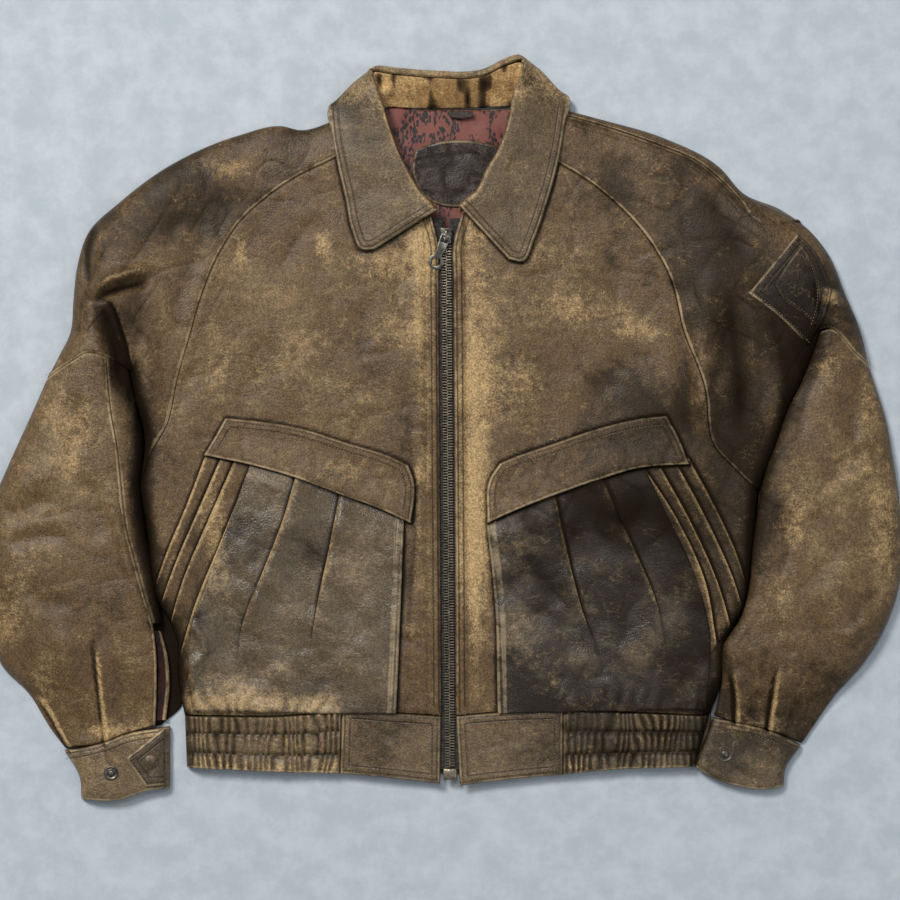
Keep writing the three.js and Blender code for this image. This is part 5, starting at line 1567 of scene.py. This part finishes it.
neck = {
    "lining": outlined([(-88, 300), (-66, 321), (-20, 321), (40, 321), (58, 321), (84, 300)],
                       [(-50, 236), (-18, 205), (16, 205), (45, 232)],
                       [(-88, 300), (-80, 265), (-50, 236)], [(84, 300), (80, 262), (45, 232)]),
    "label": outlined([(-33, 281), (-14, 288), (15, 291), (53, 284)],
                      [(-26, 235), (-12, 227), (15, 224), (46, 236)],
                      [(-33, 281), (-36, 258), (-26, 235)], [(53, 284), (58, 262), (46, 236)]),
    "loop": outlined([(1, 319), (13, 320), (25, 319)], [(1, 314), (13, 312), (25, 314)],
                     [(1, 319), (1, 314)], [(25, 319), (25, 314)]),
}


def labelFolds(x, y, u, v):
    fold = (1 - np.abs(wander(x * 0.5, y, 11, 76))) ** 5
    # the fold lines are sunk and get painted shade
    return -1.1 * fold + 0.5 * wander(x, y, 9, 77), 0.15 + 0.3 * fold, 0


def makeNeck():
    layPanel("neckLining", neck["lining"], flatLie(4.2, 1.1), [], "lining", "printed_lining", ["neck_lining"],
             spacing=3, wall=0.8, restsOn=["backPanel"])
    label = neck["label"]
    outline = [(path, 0.5, 0) for path in label.values()]
    layPanel("neckLabel", label, flatLie(6.6, 1.0), outline, "labelLeather", "dark_leather", ["neck_label"],
             spacing=1.4, wall=1.2, welt=0.5, shape=labelFolds, restsOn=["neckLining"])
    rows = [(label["start"], -3), (label["end"], 3), (label["left"], 3), (label["right"], -3)]
    stitch("labelStitches", rows, seamed(flatLie(6.2, 0.7), outline, 0, 0.5), "darkThread")
    layPanel("hangerLoop", neck["loop"], flatLie(9.5, 0.4), [], "labelLeather", "dark_leather",
             ["hanger_loop"], spacing=1, wall=1.0, restsOn=["neckLining"])
    print("neck laid")


toothSize = {"pitch": 2.75, "reach": 5.6, "along": 1.35, "tall": 2.4, "bevel": 0.3, "overlap": 1.1}


def solidFrom(bm, name, material, replaced=(), body="jacket", smoothShade=False):
    mesh = bpy.data.meshes.new(name)
    bmesh.ops.recalc_face_normals(bm, faces=bm.faces)
    bm.to_mesh(mesh)
    bm.free()
    if smoothShade:
        mesh.shade_smooth()
    mesh.materials.append(materials[material])
    return settle(link(bpy.data.objects.new(name, mesh)), replaced, body)


def makeTeeth():
    low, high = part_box("zip_teeth")
    bm = bmesh.new()
    bmesh.ops.create_cube(bm, size=1)
    bmesh.ops.scale(bm, vec=(toothSize["reach"], toothSize["along"], toothSize["tall"]), verts=bm.verts)
    bmesh.ops.bevel(bm, geom=bm.edges, offset=toothSize["bevel"], segments=1, profile=0.5, affect="EDGES",
                    material=-1)
    template, faces = taken(bm)
    y0, y1 = low.y / mm + 1, high.y / mm - 24
    count = int((y1 - y0) / toothSize["pitch"])
    points, allFaces = [], []
    for i in range(count):
        for side in (-1, 1):
            y = y0 + (i + 0.25 + 0.25 * side) * toothSize["pitch"]
            x = zipX(y) + side * (toothSize["reach"] / 2 - toothSize["overlap"] / 2)
            z = bodyHeight(zipX(y), y) - 1.5
            start = len(points) * len(template)
            points.append(template * (side, 1, 1) + (x, y, z))
            allFaces += [[start + corner for corner in face] for face in faces]
    mesh = bpy.data.meshes.new("zipTeeth")
    mesh.from_pydata((np.vstack(points) * mm).tolist(), [], allFaces)
    bm = bmesh.new()
    bm.from_mesh(mesh)
    solidFrom(bm, "zipTeeth", "metal", ["zip_teeth"])


def tapeLie(x, y):  # the tapes run a little below the fronts' edges
    return bodyLie(x, y)[0] - 2.9, np.zeros(x.shape), np.zeros(x.shape)


def makeTapes():
    for side, turn in (("right", -1), ("left", 1)):
        ys = [-340, *zipRows, 212]
        inner = smooth([(zipX(y) + turn * 3.4, y) for y in ys])
        outer = smooth([(zipX(y) + turn * 16, y) for y in ys])
        edges = {"left": inner, "right": outer, "start": smooth([inner[0], outer[0]]),
                 "end": smooth([inner[-1], outer[-1]])}
        layPanel(side + "ZipTape", edges, tapeLie, [], "tape", "zip_tape", [side + "_zip_tape"], spacing=2.4,
                 wall=0.9, restsOn=["backPanel"])


def bevelledCopy(name, node, material, width, body="jacket"):  # a CAD piece with its edges broken
    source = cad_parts[node]
    bm = bmesh.new()
    bm.from_mesh(source.data)
    bmesh.ops.remove_doubles(bm, verts=bm.verts, dist=1e-6)
    bmesh.ops.dissolve_limit(bm, angle_limit=math.radians(4), verts=bm.verts, edges=bm.edges)
    sharp = [edge for edge in bm.edges
             if len(edge.link_faces) == 2 and edge.calc_face_angle(0) > math.radians(35)]
    bmesh.ops.bevel(bm, geom=sharp, offset=width * mm, segments=2, profile=0.5, affect="EDGES", material=-1,
                    clamp_overlap=True)
    piece = solidFrom(bm, name, material, [node], body)
    piece.data.shade_smooth()
    return piece


# Turned outlines: parts of the radius, and heights
snapCap = [(0, 3.3), (0.35, 3.15), (0.62, 2.7), (0.82, 2.0), (0.95, 1.1), (1, 0.3), (0.97, -0.8), (0, -0.8)]
snapStud = [(0, 3.2), (0.3, 3.1), (0.42, 2.5), (0.46, 1.2), (0.62, 1.0), (0.7, 1.6), (0.86, 1.9), (0.97, 1.4),
            (1, 0.3), (0.97, -0.8), (0, -0.8)]


def makeSnap(name, node, outline, material):
    low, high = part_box(node)
    centre = (low + high) / 2
    radius = (high.x - low.x) / 2
    bm = bmesh.new()
    verts = [bm.verts.new((r * radius, 0, h * mm)) for r, h in outline]
    edges = [bm.edges.new(pair) for pair in zip(verts[:-1], verts[1:])]
    bmesh.ops.spin(bm, geom=verts + edges, cent=(0, 0, 0), axis=(0, 0, 1), angle=math.tau, steps=40,
                   use_merge=True)
    bmesh.ops.remove_doubles(bm, verts=bm.verts, dist=1e-6)
    bmesh.ops.translate(bm, vec=(centre.x, centre.y, low.z), verts=bm.verts)
    return solidFrom(bm, name, material, [node], smoothShade=True)


def makeHardware():
    makeTeeth()
    makeTapes()
    bevelledCopy("zipBox", "zip_box", "metal", 0.5)
    bevelledCopy("zipSlider", "zip_slider", "darkMetal", 0.35)
    bevelledCopy("zipPull", "zip_pull", "brass", 0.3, "zip_pull")
    makeSnap("rightCuffCap", "right_cuff_cap", snapCap, "dullBronze")
    makeSnap("rightCuffStud", "right_cuff_stud", snapStud, "stud")
    makeSnap("leftCuffStud", "left_cuff_stud", snapStud, "stud")
    print("zip and snaps made")


makeFronts()
makeSleeves()
makeCuffs()
makeWaistband()
makePockets()
makeSleevePatch()
makeCollarFall()
makeCollarStand()
makeNeck()
makeHardware()
